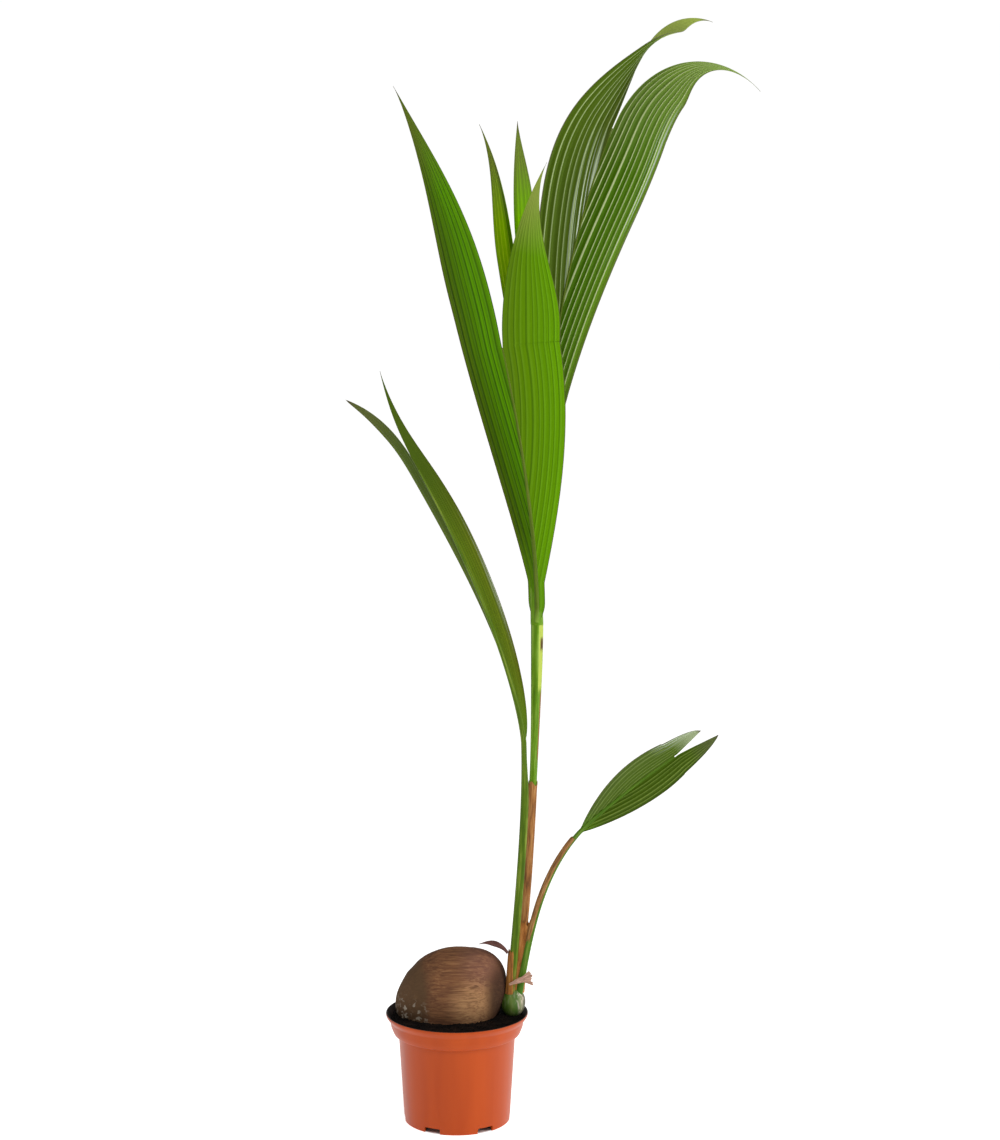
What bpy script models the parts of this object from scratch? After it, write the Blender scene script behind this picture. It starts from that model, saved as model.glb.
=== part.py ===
"""Young coconut palm grown from a husked nut in a nursery pot.

Metres, +Z up. The origin is the centre of the pot's flat underside. The plant is seen from -Y,
with +X to the right. Leaves a to e are named from the lowest left one round to the small right one.
"""

import math

import bmesh
import bpy
from mathutils import Matrix, Vector

# Driving dimensions
MM = 0.001
GAP = 0.3 * MM  # clearance between touching pieces

POT_RIM_R = 95.0 * MM
POT_HEIGHT = 147.0 * MM
POT_COLLAR_TOP_R = 89.6 * MM
POT_COLLAR_TOP_Z = 136.5 * MM
POT_COLLAR_R = 88.2 * MM
POT_COLLAR_Z = 128.0 * MM
POT_COLLAR_EDGE_R = 84.2 * MM
POT_COLLAR_EDGE_Z = 119.8 * MM
POT_SHOULDER_R = 78.0 * MM
POT_SHOULDER_Z = 117.4 * MM
POT_BASE_R = 70.8 * MM
POT_BASE_EDGE = 0.6 * MM  # rounding at the foot of the wall
POT_BASE_Z = 4.0 * MM
POT_RIM_EDGE = 2.5 * MM  # height of the rim's upright edge
POT_WALL = 1.6 * MM
STEP_RISE = 1.0 * MM  # each step of the inside lies this much over the outer one
FOOT_HEIGHT = 8.0 * MM  # height of the raised channel in the underside
FOOT_RING_R = 68.0 * MM  # inner radius of the ring that stands on the table
CENTRE_FOOT_R = 47.0 * MM  # radius of the flat disc in the middle of the underside
CHANNEL_SLOPE = 2.0 * MM  # how far the channel's sides lean
FLOOR = 2.0 * MM
NOTCHES = 6
NOTCH_WIDTH = 21.0 * MM
NOTCH_HEIGHT = 7.6 * MM
NOTCH_DEPTH = 14.0 * MM
DRAIN_R = 4.0 * MM
DRAIN_RING_R = 57.5 * MM
DRAIN_DEPTH = 8.0 * MM
DRAIN_SIDES = 10
POT_STEPS = 48

SOIL_TOP = 142.0 * MM
SOIL_DIP = 2.5 * MM  # the compost is lower in the middle than at the wall
SOIL_BEND = (0.6, 0.7)  # where its slope changes, as a share of the radius and of the dip

HUSK_CENTRE = Vector((-9.5 * MM, 17.0 * MM, 162.5 * MM))
HUSK_HALF_LENGTH = 76.5 * MM
HUSK_WIDTH = 54.0 * MM  # half widths across it, level and upright
HUSK_HEIGHT = 64.0 * MM
HUSK_TILT = -24.0  # degrees; the end away from the shoot lies lower
HUSK_RIDGES = 0.03  # how far the three rounded ridges stand out, as a share of the radius
HUSK_FACETS = (30, 18)  # round the axis and along it

BULB_CENTRE = Vector((75.5 * MM, 10.0 * MM, 157.0 * MM))
BULB_RADII = Vector((17.0 * MM, 16.0 * MM, 21.0 * MM))
BULB_FACETS = (20, 12)

# Stalks: a foot, a length, a lean to +X and a depth, the lean to +Y, from upright in degrees,
# each at the foot and at the top, and bow, the power of the bend
STEM = dict(
    foot=Vector((78.6 * MM, 17.9 * MM, 172.0 * MM)),
    length=0.4974,
    lean=(7.8, 0.3),
    bow=0.64,
    depth=(0.0, 0.5),
)
STEM_R = 5.0 * MM
STEM_TOP_R = 8.0 * MM
STEM_SWELL_FROM = 0.58

PETIOLE_A = dict(
    foot=Vector((69.8 * MM, 4.0 * MM, 168.0 * MM)),
    length=0.3435,
    lean=(4.9, -1.8),
    bow=3.0,
    depth=(0.0, 0.0),
)
PETIOLE_E = dict(
    foot=Vector((82.6 * MM, 7.2 * MM, 168.0 * MM)),
    length=0.2402,
    lean=(10.0, 41.2),
    bow=2.16,
    depth=(-1.3, -2.1),
)
PETIOLE_A_R = (4.0 * MM, 3.6 * MM)
PETIOLE_E_R = (4.4 * MM, 3.4 * MM)

# Where the three upper leaves stand on the stem's top, from its middle
FORK_FEET = {
    "b": Vector((-0.8 * MM, -6.8 * MM, 2.0 * MM)),
    "c": Vector((3.4 * MM, 6.8 * MM, 2.0 * MM)),
    "d": Vector((0.2 * MM, 0.0, 2.0 * MM)),
}
FORK_FOOT_R = 3.0 * MM
RIB_TIP_R = 1.3 * MM

SHEATH_FROM = 0.135
SHEATH_TO = 0.573
SHEATH_R = (6.9 * MM, 6.1 * MM)
LINING_FROM = 0.30
LINING_TO = 0.955
LINING_R = 4.2 * MM
LINING_OFFSET = 2.7 * MM
LINING_END_R = 0.55  # share of its radius at the ends
LINING_END_OFFSET = 0.6  # share of its offset at the ends
COURSE_STEPS = 24

# Blade solids
BLADE_THICKNESS = 0.0101  # greatest thickness as a share of the half-blade's length
BLADE_EDGE = 0.26  # edge thickness as a share of the greatest
BLADE_TIP_WIDTH = 1.2 * MM
BLADE_STEP = 34.0 * MM  # length of one facet along the blade
BLADE_ACROSS = 3
BLADE_START = 0.012  # where the blade begins, as a share of the half-blade's length
LOBE_GAP = 0.6 * MM  # between two solids of one half-blade

# Leaves that bend over are cut into solids: where each begins, 0 at the notch, 1 at the lobe's tip
LEAF_CUTS = {
    "a": {"lobe": 0.0},
    "b": {"lobe": 0.0},
    "c": {"lobe": 0.0, "tip": 0.5},
}

# Leaves. Each has a rib as far as its notch, then one free lobe a side.
# rib: length, lean and depth at its foot and its notch, and bow, the power of its bend.
# Each side: lobe length, lean and depth at the tip, the stretch of the lobe that bends,
# greatest width, where that is, how the width grows at the foot and dies at the tip,
# the fold of the blade away from -Y, and the twist of the tip with where it begins.
LEAVES = {
    "a": dict(
        rib=dict(length=0.391, lean=(-1.8, -28.3), bow=0.40, depth=(-3.0, -4.0)),
        left=dict(
            lobe=0.133, lean=-95.0, bend=(-0.11, 1.8), depth=2.0,
            width=0.050, widest=0.85, rise=2.2, fall=0.71, fold=72.0, twist=0.0, twist_from=0.6,
        ),
        right=dict(
            lobe=0.138, lean=-11.8, bend=(-0.03, 1.1), depth=-10.0,
            width=0.036, widest=0.52, rise=0.5, fall=1.2, fold=52.0, twist=0.0, twist_from=0.6,
        ),
    ),
    "b": dict(
        rib=dict(length=0.366, lean=(5.2, -12.1), bow=0.40, depth=(-3.0, -7.0)),
        left=dict(
            lobe=0.361, lean=-30.6, bend=(0.02, 0.83), depth=-12.0,
            width=0.070, widest=0.594, rise=0.99, fall=1.43, fold=42.0, twist=0.0, twist_from=0.6,
        ),
        right=dict(
            lobe=0.246, lean=42.5, bend=(-0.65, 1.75), depth=-5.0,
            width=0.080, widest=0.632, rise=1.23, fall=1.59, fold=18.0, twist=0.0, twist_from=0.6,
        ),
    ),
    "c": dict(
        rib=dict(length=0.670, lean=(0.0, 21.9), bow=1.55, depth=(5.0, 11.0)),
        left=dict(
            lobe=0.231, lean=144.5, bend=(0.36, 1.34), depth=14.0,
            width=0.083, widest=0.86, rise=2.45, fall=1.77, fold=-15.0, twist=-112.0, twist_from=0.62,
        ),
        right=dict(
            lobe=0.257, lean=155.5, bend=(-0.12, 1.35), depth=8.0,
            width=0.082, widest=0.806, rise=2.26, fall=2.57, fold=-18.0, twist=-50.0, twist_from=0.6,
        ),
    ),
    "d": dict(
        rib=dict(length=0.403, lean=(3.8, -8.8), bow=1.0, depth=(1.0, 3.0)),
        left=dict(
            lobe=0.258, lean=-52.0, bend=(0.34, 1.8), depth=4.0,
            width=0.030, widest=0.73, rise=1.4, fall=1.33, fold=38.0, twist=0.0, twist_from=0.6,
        ),
        right=dict(
            lobe=0.255, lean=15.3, bend=(-0.16, 1.8), depth=5.0,
            width=0.033, widest=0.82, rise=1.4, fall=1.15, fold=38.0, twist=0.0, twist_from=0.6,
        ),
    ),
    "e": dict(
        rib=dict(length=0.163, lean=(41.2, 53.5), bow=0.40, depth=(-6.0, -4.0)),
        left=dict(
            lobe=0.049, lean=44.2, bend=(-0.6, 0.35), depth=-2.0,
            width=0.037, widest=0.56, rise=0.93, fall=0.63, fold=-30.0, twist=0.0, twist_from=0.6,
        ),
        right=dict(
            lobe=0.065, lean=62.4, bend=(-0.55, 0.47), depth=-8.0,
            width=0.030, widest=0.55, rise=0.75, fall=0.76, fold=-15.0, twist=0.0, twist_from=0.6,
        ),
    ),
}
SIDES = {"left": -1.0, "right": 1.0}

# Dry bracts at the foot of the shoot: a foot, length, lean, depth, greatest half width, its
# shares at the foot, the middle and the tip, and tilt
BRACTS = {
    "curled_bract": dict(
        foot=Vector((67.9 * MM, -2.0 * MM, 227.0 * MM)),
        length=0.044, lean=(-42.0, -108.0), bow=0.9, depth=(-4.0, -8.0),
        width=3.8 * MM, shares=(0.5, 1.0, 0.1), tilt=20.0,
    ),
    "paper_bract": dict(
        foot=Vector((70.0 * MM, -3.5 * MM, 184.5 * MM)),
        length=0.034, lean=(62.0, 82.0), bow=1.0, depth=(-6.0, -2.0),
        width=9.0 * MM, shares=(0.2, 0.4, 1.0), tilt=-20.0,
    ),
}
BRACT_THICKNESS = 1.2 * MM

SOLIDS = "coconut_palm"
GUIDES = "cutters"


def clear_scene():
    for item in list(bpy.data.objects):
        bpy.data.objects.remove(item, do_unlink=True)


def collection(name):
    made = bpy.data.collections.new(name)
    bpy.context.scene.collection.children.link(made)
    return made


def srgb(value):
    """Linear colour of a six-figure hex value."""
    parts = [int(value[i:i + 2], 16) / 255.0 for i in (0, 2, 4)]
    return [c / 12.92 if c <= 0.04045 else ((c + 0.055) / 1.055) ** 2.4 for c in parts] + [1.0]


def material(name, value, roughness):
    made = bpy.data.materials.new(name)
    made.use_nodes = True
    shader = made.node_tree.nodes["Principled BSDF"]
    shader.inputs["Base Color"].default_value = srgb(value)
    shader.inputs["Roughness"].default_value = roughness
    shader.inputs["Metallic"].default_value = 0.0
    return made


def add_object(name, data, home, look=None):
    made = bpy.data.objects.new(name, data)
    bpy.data.collections[home].objects.link(made)
    if look:
        data.materials.append(look)
    if home == GUIDES:
        made.hide_render = True
        made.display_type = "WIRE"
    return made


def mesh_object(name, bm, home, look=None, smooth_angle=40.0):
    data = bpy.data.meshes.new(name)
    bm.to_mesh(data)
    bm.free()
    data.shade_smooth()
    data.set_sharp_from_angle(angle=math.radians(smooth_angle))
    return add_object(name, data, home, look)


def boolean(target, cutter, operation="DIFFERENCE"):
    step = target.modifiers.new(operation.lower() + "_" + cutter.name, "BOOLEAN")
    step.operation = operation
    step.object = cutter
    return step


def grown(source, gap, name):
    """A cutter that is the source's shape, larger by a gap all round."""
    bm = bmesh.new()
    bm.from_mesh(source.data)
    bm.normal_update()
    moves = [(v, v.normal * gap) for v in bm.verts]
    for vertex, move in moves:
        vertex.co += move
    made = mesh_object(name, bm, GUIDES)
    made.matrix_world = source.matrix_world
    return made


def turned(name, profile, home, look=None):
    """A solid of revolution. The profile runs down the outer side from the axis or rim."""
    data = bpy.data.meshes.new(name)
    edges = [(i, i + 1) for i in range(len(profile) - 1)]
    if profile[0][0] > 0.0:
        edges.append((len(profile) - 1, 0))
    data.from_pydata([(r, 0.0, z) for r, z in profile], edges, [])
    made = add_object(name, data, home, look)
    screw = made.modifiers.new("turn", "SCREW")
    screw.axis = "Z"
    screw.angle = math.tau
    screw.steps = POT_STEPS
    screw.render_steps = POT_STEPS
    screw.use_merge_vertices = True
    screw.merge_threshold = 0.00001
    return made


def smooth(x):
    x = min(max(x, 0.0), 1.0)
    return x * x * (3.0 - 2.0 * x)


def arch(x):
    """Rises from 0 to 1 in the middle and falls back to 0."""
    return max(math.sin(math.pi * x), 0.0)


def heading(lean, depth):
    """Unit direction leaning by lean towards +X and by depth towards +Y, in degrees."""
    a = math.radians(lean)
    b = math.radians(depth)
    return Vector((math.sin(a) * math.cos(b), math.sin(b), math.cos(a) * math.cos(b)))


def course(foot, length, lean_at, depth_at, steps):
    """Points and headings of a curve whose lean and depth are functions of 0 to 1."""
    points = [foot.copy()]
    for i in range(steps):
        s = (i + 0.5) / steps
        points.append(points[-1] + heading(lean_at(s), depth_at(s)) * (length / steps))
    headings = [heading(lean_at(i / steps), depth_at(i / steps)) for i in range(steps + 1)]
    return points, headings


def bowed(ends, bow):
    return lambda s: ends[0] + (ends[1] - ends[0]) * s ** bow


def stalk_course(stalk, steps):
    lean_at = bowed(stalk["lean"], stalk["bow"])
    return course(stalk["foot"], stalk["length"], lean_at, bowed(stalk["depth"], 1.0), steps)


def rib_course(leaf, foot, steps):
    rib = leaf["rib"]
    return course(foot, rib["length"], bowed(rib["lean"], rib["bow"]), bowed(rib["depth"], 1.0), steps)


def half_course(leaf, side, foot, steps):
    """The inner edge of a half-blade: up the rib, then along the lobe's free edge.

    Returns a function of t, 0 at the foot and 1 at the lobe's tip, giving a point and a heading.
    """
    rib = leaf["rib"]
    half = leaf[side]
    rib_points, rib_headings = rib_course(leaf, foot, steps)
    start, end = half["bend"]

    def lean_at(s):
        return rib["lean"][1] + (half["lean"] - rib["lean"][1]) * smooth((s - start) / (end - start))

    def depth_at(s):
        return rib["depth"][1] + (half["depth"] - rib["depth"][1]) * s

    lobe_points, lobe_headings = course(rib_points[-1], half["lobe"], lean_at, depth_at, steps)
    total = rib["length"] + half["lobe"]
    split = rib["length"] / total
    points = rib_points + lobe_points[1:]
    at_notch = (rib_headings[-1] + lobe_headings[0]).normalized()
    headings = rib_headings[:-1] + [at_notch] + lobe_headings[1:]

    def at(t):
        if t <= split:
            k = t / split * steps
        else:
            k = steps + (t - split) / (1.0 - split) * steps
        i = min(int(k), 2 * steps - 1)
        direction = headings[i].lerp(headings[i + 1], k - i).normalized()
        return points[i].lerp(points[i + 1], k - i), direction

    return at, total, split


def half_width(half, t):
    """Distance from inner edge to margin: it grows to the widest place and dies at the tip."""
    if t < half["widest"]:
        share = math.sin(math.pi / 2.0 * t / half["widest"]) ** half["rise"]
    else:
        left = max(math.cos(math.pi / 2.0 * (t - half["widest"]) / (1.0 - half["widest"])), 0.0)
        share = left ** half["fall"]
    return half["width"] * share


def across(direction, turn):
    """Unit vector across a heading: to its right at turn 0, and turning away from -Y."""
    right = Vector((0.0, 1.0, 0.0)).cross(direction).normalized()
    away = direction.cross(right)
    return right * math.cos(math.radians(turn)) + away * math.sin(math.radians(turn))


def sheet(name, place, weight, thickness, look, along, over):
    """A thin closed solid on place(u, v), u across and v along, thinner where weight is under 1."""
    bm = bmesh.new()
    bmesh.ops.create_grid(bm, x_segments=over, y_segments=along, size=0.5)
    shares = bm.verts.layers.deform.verify()
    for vertex in bm.verts:
        u = vertex.co.x + 0.5
        v = vertex.co.y + 0.5
        vertex[shares][0] = weight(u, v)
        vertex.co = place(u, v)
    made = mesh_object(name, bm, SOLIDS, look, 60.0)
    made.vertex_groups.new(name="thickness")
    solid = made.modifiers.new("thickness", "SOLIDIFY")
    solid.thickness = thickness
    solid.offset = 0.0
    solid.vertex_group = "thickness"
    return made


def tube(name, points, radii, look, home=SOLIDS):
    """A tapering limb along the points."""
    data = bpy.data.curves.new(name, "CURVE")
    data.dimensions = "3D"
    largest = max(radii)
    data.bevel_depth = largest
    data.bevel_resolution = 2
    data.use_fill_caps = True
    line = data.splines.new("POLY")
    line.points.add(len(points) - 1)
    for knot, point, radius in zip(line.points, points, radii):
        knot.co = (point.x, point.y, point.z, 1.0)
        knot.radius = radius / largest
    return add_object(name, data, home, look)


def as_mesh(limb, home, look=None):
    """The limb as a closed mesh, for cutting."""
    bpy.context.view_layer.update()
    source = limb.evaluated_get(bpy.context.evaluated_depsgraph_get())
    data = bpy.data.meshes.new_from_object(source)
    name = limb.name
    place = limb.matrix_world.copy()
    bpy.data.objects.remove(limb, do_unlink=True)
    bm = bmesh.new()
    bm.from_mesh(data)
    bmesh.ops.remove_doubles(bm, verts=bm.verts, dist=0.000001)
    bmesh.ops.recalc_face_normals(bm, faces=bm.faces)
    bpy.data.meshes.remove(data)
    made = mesh_object(name, bm, home, look)
    made.matrix_world = place
    return made


def ball(name, radii, centre, tilt, facets, shape, look):
    """An ellipsoid with its poles along X, with each radius multiplied by shape(angle round X)."""
    bm = bmesh.new()
    quarter = Matrix.Rotation(math.pi / 2.0, 4, "Y")
    bmesh.ops.create_uvsphere(bm, u_segments=facets[0], v_segments=facets[1], radius=1.0, matrix=quarter)
    for vertex in bm.verts:
        swell = shape(math.atan2(vertex.co.z, vertex.co.y))
        vertex.co.x *= radii[0]
        vertex.co.y *= radii[1] * swell
        vertex.co.z *= radii[2] * swell
    made = mesh_object(name, bm, SOLIDS, look)
    made.location = centre
    made.rotation_euler = (0.0, math.radians(tilt), 0.0)
    return made


def round_section(angle):
    return 1.0


def husk_section(angle):
    """Three rounded ridges, one of them along the top."""
    return 1.0 + HUSK_RIDGES * math.cos(3.0 * (angle - math.pi / 2.0))


def pot_outer():
    return [
        (POT_RIM_R, POT_HEIGHT),
        (POT_RIM_R, POT_HEIGHT - POT_RIM_EDGE),
        (POT_COLLAR_TOP_R, POT_COLLAR_TOP_Z),
        (POT_COLLAR_R, POT_COLLAR_Z),
        (POT_COLLAR_EDGE_R, POT_COLLAR_EDGE_Z),
        (POT_SHOULDER_R, POT_SHOULDER_Z),
        (POT_BASE_R, POT_BASE_Z),
        (POT_BASE_R - POT_BASE_EDGE, 0.0),
    ]


def pot_inner():
    """The inside of the wall, from the floor of the channel up to the rim."""
    slope = (POT_SHOULDER_R - POT_BASE_R) / (POT_SHOULDER_Z - POT_BASE_Z)
    channel_top = FOOT_HEIGHT + FLOOR
    return [
        (POT_BASE_R + slope * (channel_top - POT_BASE_Z) - POT_WALL, channel_top),
        (POT_SHOULDER_R - POT_WALL, POT_SHOULDER_Z + STEP_RISE),
        (POT_COLLAR_EDGE_R - POT_WALL, POT_COLLAR_EDGE_Z + STEP_RISE),
        (POT_COLLAR_R - POT_WALL, POT_COLLAR_Z + STEP_RISE),
        (POT_COLLAR_TOP_R - POT_WALL, POT_COLLAR_TOP_Z + STEP_RISE),
        (POT_RIM_R - POT_WALL, POT_HEIGHT - POT_RIM_EDGE + 1.1 * MM),
        (POT_RIM_R - POT_WALL, POT_HEIGHT),
    ]


def make_pot(look):
    """Thin nursery pot with a stepped collar, notched foot ring and a raised drainage channel."""
    underside = [
        (FOOT_RING_R, 0.0),
        (FOOT_RING_R - CHANNEL_SLOPE, FOOT_HEIGHT),
        (CENTRE_FOOT_R + CHANNEL_SLOPE, FOOT_HEIGHT),
        (CENTRE_FOOT_R, 0.0),
        (0.0, 0.0),
    ]
    floor = [
        (0.0, FLOOR),
        (CENTRE_FOOT_R - CHANNEL_SLOPE, FLOOR),
        (CENTRE_FOOT_R, FOOT_HEIGHT + FLOOR),
    ]
    pot = turned("pot", pot_outer() + underside + floor + pot_inner(), SOLIDS, look)
    bm = bmesh.new()
    out = Matrix.Translation((0.0, -FOOT_RING_R - 1.0 * MM, 0.0))
    size = Matrix.Diagonal((NOTCH_WIDTH, NOTCH_DEPTH, 2.0 * NOTCH_HEIGHT, 1.0))
    for i in range(NOTCHES):
        turn = Matrix.Rotation(math.tau * (i + 0.5) / NOTCHES, 4, "Z")
        bmesh.ops.create_cube(bm, size=1.0, matrix=turn @ out @ size)
    boolean(pot, mesh_object("notches", bm, GUIDES))
    bm = bmesh.new()
    out = Matrix.Translation((0.0, -DRAIN_RING_R, FOOT_HEIGHT))
    for i in range(NOTCHES):
        turn = Matrix.Rotation(math.tau * i / NOTCHES, 4, "Z")
        bmesh.ops.create_cone(
            bm,
            cap_ends=True,
            segments=DRAIN_SIDES,
            radius1=DRAIN_R,
            radius2=DRAIN_R,
            depth=DRAIN_DEPTH,
            matrix=turn @ out,
        )
    boolean(pot, mesh_object("drains", bm, GUIDES))
    return pot


def tapered(start, end, count):
    return [start + (end - start) * (i / count) for i in range(count + 1)]


def make_soil(look):
    """The compost fills the pot, clear of its wall, and dips a little in the middle."""
    inner = pot_inner()
    side = [(r - GAP, z + GAP) for r, z in inner if z < SOIL_TOP - 1.0 * MM]
    top_r = POT_COLLAR_TOP_R - POT_WALL - 1.5 * GAP
    profile = [
        (0.0, SOIL_TOP - SOIL_DIP),
        (top_r * SOIL_BEND[0], SOIL_TOP - SOIL_DIP * SOIL_BEND[1]),
        (top_r, SOIL_TOP),
    ]
    profile += list(reversed(side))
    profile += [
        (CENTRE_FOOT_R - GAP, FOOT_HEIGHT + FLOOR + GAP),
        (CENTRE_FOOT_R - CHANNEL_SLOPE - GAP, FLOOR + GAP),
        (0.0, FLOOR + GAP),
    ]
    return turned("soil", profile, SOLIDS, look)


def make_limb(name, points, radii, look, cutter=None):
    limb = tube(name, points, radii, look)
    if cutter:
        limb = as_mesh(limb, SOLIDS, look)
        boolean(limb, cutter)
    return limb


def stem_radius(s):
    return STEM_R + (STEM_TOP_R - STEM_R) * smooth((s - STEM_SWELL_FROM) / (1.0 - STEM_SWELL_FROM))


def make_stem(look, bulb_space):
    """The rolled leaf bases, from the bulb to the fork. Returns the middle of the top."""
    points = stalk_course(STEM, COURSE_STEPS)[0]
    radii = [stem_radius(i / COURSE_STEPS) for i in range(COURSE_STEPS + 1)]
    make_limb("stem", points, radii, look, bulb_space)
    return points[-1]


def make_sheath(look):
    """The brown fibrous sheath round the lower stem."""
    steps = 48
    points = stalk_course(STEM, steps)[0]
    first = round(SHEATH_FROM * steps)
    last = round(SHEATH_TO * steps)
    run = points[first:last + 1]
    radii = tapered(SHEATH_R[0], SHEATH_R[1], len(run) - 1)
    sheath = as_mesh(tube("stem_sheath", run, radii, look), SOLIDS, look)
    inside = [stem_radius(i / steps) + GAP for i in range(steps + 1)]
    core = as_mesh(tube("stem_space", points, inside, None, GUIDES), GUIDES)
    boolean(sheath, core)


def make_petiole(leaf, name, stalk, stalk_radii, look, bulb_space):
    """Petiole and rib in one tapering limb, from the bulb to the notch. Returns the leaf's foot."""
    steps = 16
    lower = stalk_course(stalk, steps)[0]
    upper = rib_course(leaf, lower[-1], steps)[0]
    radii = tapered(stalk_radii[0], stalk_radii[1], steps)
    radii += tapered(stalk_radii[1], RIB_TIP_R, steps)[1:]
    make_limb(name, lower + upper[1:], radii, look, bulb_space)
    return lower[-1]


def make_rib(leaf, name, foot, look):
    """A rib from the stem's top to the leaf's notch."""
    points = rib_course(leaf, foot, COURSE_STEPS)[0]
    make_limb(name, points, tapered(FORK_FOOT_R, RIB_TIP_R, COURSE_STEPS), look)


def make_half_blade(name, leaf, side, foot, foot_radius, span, look):
    """A stretch of one half of a leaf: a thin blade from the rib or the free edge to the margin."""
    half = leaf[side]
    at, total, split = half_course(leaf, side, foot, COURSE_STEPS)

    def place(u, v):
        t = span[0] + (span[1] - span[0]) * v
        point, direction = at(t)
        twisted = smooth((t - half["twist_from"]) / (1.0 - half["twist_from"]))
        turn = half["fold"] + half["twist"] * twisted
        side_way = across(direction, turn * SIDES[side])
        rib_radius = foot_radius + (RIB_TIP_R - foot_radius) * min(t / split, 1.0)
        inner = (rib_radius + GAP) * (1.0 - smooth((t - split) / (1.0 - split)))
        width = max(half_width(half, t), inner + BLADE_TIP_WIDTH)
        return point + side_way * SIDES[side] * (inner + (width - inner) * u)

    def weight(u, v):
        t = span[0] + (span[1] - span[0]) * v
        section = BLADE_EDGE + (1.0 - BLADE_EDGE) * arch(u) ** 0.7
        length = 0.3 + 0.7 * smooth(t / 0.25) * smooth((1.0 - t) / 0.3)
        return section * length

    thickness = BLADE_THICKNESS * total
    along = max(round(total * (span[1] - span[0]) / BLADE_STEP), 8)
    return sheet(name, place, weight, thickness, look, along, BLADE_ACROSS)


def make_leaf(key, foot, foot_radius, look):
    """Both halves of a leaf, each in one solid or cut where it bends."""
    leaf = LEAVES[key]
    for side in SIDES:
        total = leaf["rib"]["length"] + leaf[side]["lobe"]
        split = leaf["rib"]["length"] / total
        half_gap = LOBE_GAP / 2.0 / total
        name = "leaf_" + key + "_" + side
        first = BLADE_START
        for ending, share in LEAF_CUTS.get(key, {}).items():
            cut = split + (1.0 - split) * share
            make_half_blade(name, leaf, side, foot, foot_radius, (first, cut - half_gap), look)
            name = "leaf_" + key + "_" + side + "_" + ending
            first = cut + half_gap
        make_half_blade(name, leaf, side, foot, foot_radius, (first, 1.0), look)


def make_lining(look):
    """The brown sheath edge that lies along the upper left side of leaf e's petiole."""
    steps = 40
    points, headings = stalk_course(PETIOLE_E, steps)
    first = round(LINING_FROM * steps)
    last = round(LINING_TO * steps)
    run = []
    radii = []
    for i in range(first, last + 1):
        ends = arch((i - first) / (last - first)) ** 0.3
        offset = LINING_OFFSET * (LINING_END_OFFSET + (1.0 - LINING_END_OFFSET) * ends)
        run.append(points[i] - across(headings[i], 0.0) * offset)
        radii.append(LINING_R * (LINING_END_R + (1.0 - LINING_END_R) * ends))
    lining = as_mesh(tube("petiole_e_sheath", run, radii, look), SOLIDS, look)
    inside = [r + GAP for r in tapered(PETIOLE_E_R[0], PETIOLE_E_R[1], steps)]
    core = as_mesh(tube("petiole_e_space", points, inside, None, GUIDES), GUIDES)
    boolean(lining, core)


def bract_share(shares, v):
    """Width as a share of the greatest, smoothly from foot to middle to tip."""
    foot, middle, tip = shares
    if v < 0.5:
        return foot + (middle - foot) * smooth(v * 2.0)
    return middle + (tip - middle) * smooth(v * 2.0 - 1.0)


def make_bract(name, size, look):
    """A dry scale: one ends in a point, the other in a torn flare."""
    steps = 12
    lean_at = bowed(size["lean"], size["bow"])
    points, headings = course(size["foot"], size["length"], lean_at, bowed(size["depth"], 1.0), steps)

    def place(u, v):
        k = min(int(v * steps), steps - 1)
        share = v * steps - k
        direction = headings[k].lerp(headings[k + 1], share).normalized()
        width = size["width"] * bract_share(size["shares"], v)
        side_way = across(direction, size["tilt"])
        return points[k].lerp(points[k + 1], share) + side_way * width * (2.0 * u - 1.0)

    def weight(u, v):
        return 1.0 - 0.5 * v

    return sheet(name, place, weight, BRACT_THICKNESS, look, steps, 2)


def main():
    clear_scene()
    collection(SOLIDS)
    collection(GUIDES).hide_render = True

    terracotta = material("terracotta_plastic", "BB5429", 0.42)
    compost = material("compost", "241A14", 0.95)
    husk_fibre = material("husk_fibre", "7A5A42", 0.85)
    shoot_green = material("shoot_green", "5F8A2C", 0.55)
    stalk_green = material("stalk_green", "6E9A34", 0.5)
    leaf_green = material("leaf_green", "4F7F1E", 0.45)
    sheath_brown = material("sheath_brown", "A8662F", 0.8)
    bract_brown = material("bract_brown", "6B4A3A", 0.8)

    make_pot(terracotta)
    soil = make_soil(compost)
    husk_radii = (HUSK_HALF_LENGTH, HUSK_WIDTH, HUSK_HEIGHT)
    husk = ball("husk", husk_radii, HUSK_CENTRE, HUSK_TILT, HUSK_FACETS, husk_section, husk_fibre)
    bulb = ball("shoot_base", BULB_RADII, BULB_CENTRE, 0.0, BULB_FACETS, round_section, shoot_green)
    bpy.context.view_layer.update()
    husk_space = grown(husk, GAP, "husk_space")
    bulb_space = grown(bulb, GAP, "shoot_base_space")
    boolean(soil, husk_space)
    boolean(soil, bulb_space)
    boolean(husk, bulb_space)

    top = make_stem(stalk_green, bulb_space)
    make_sheath(sheath_brown)
    foot_a = make_petiole(LEAVES["a"], "petiole_a", PETIOLE_A, PETIOLE_A_R, stalk_green, bulb_space)
    foot_e = make_petiole(LEAVES["e"], "petiole_e", PETIOLE_E, PETIOLE_E_R, stalk_green, bulb_space)
    make_lining(sheath_brown)
    make_leaf("a", foot_a, PETIOLE_A_R[1], leaf_green)
    make_leaf("e", foot_e, PETIOLE_E_R[1], leaf_green)

    for key, offset in FORK_FEET.items():
        make_rib(LEAVES[key], "rib_" + key, top + offset, stalk_green)
        make_leaf(key, top + offset, FORK_FOOT_R, leaf_green)

    for name, size in BRACTS.items():
        make_bract(name, size, bract_brown)


main()
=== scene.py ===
"""Looks of the young coconut palm that grows from its husked nut in a nursery pot."""

import math
import random

import bpy
import numpy as np
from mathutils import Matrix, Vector, noise


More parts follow.
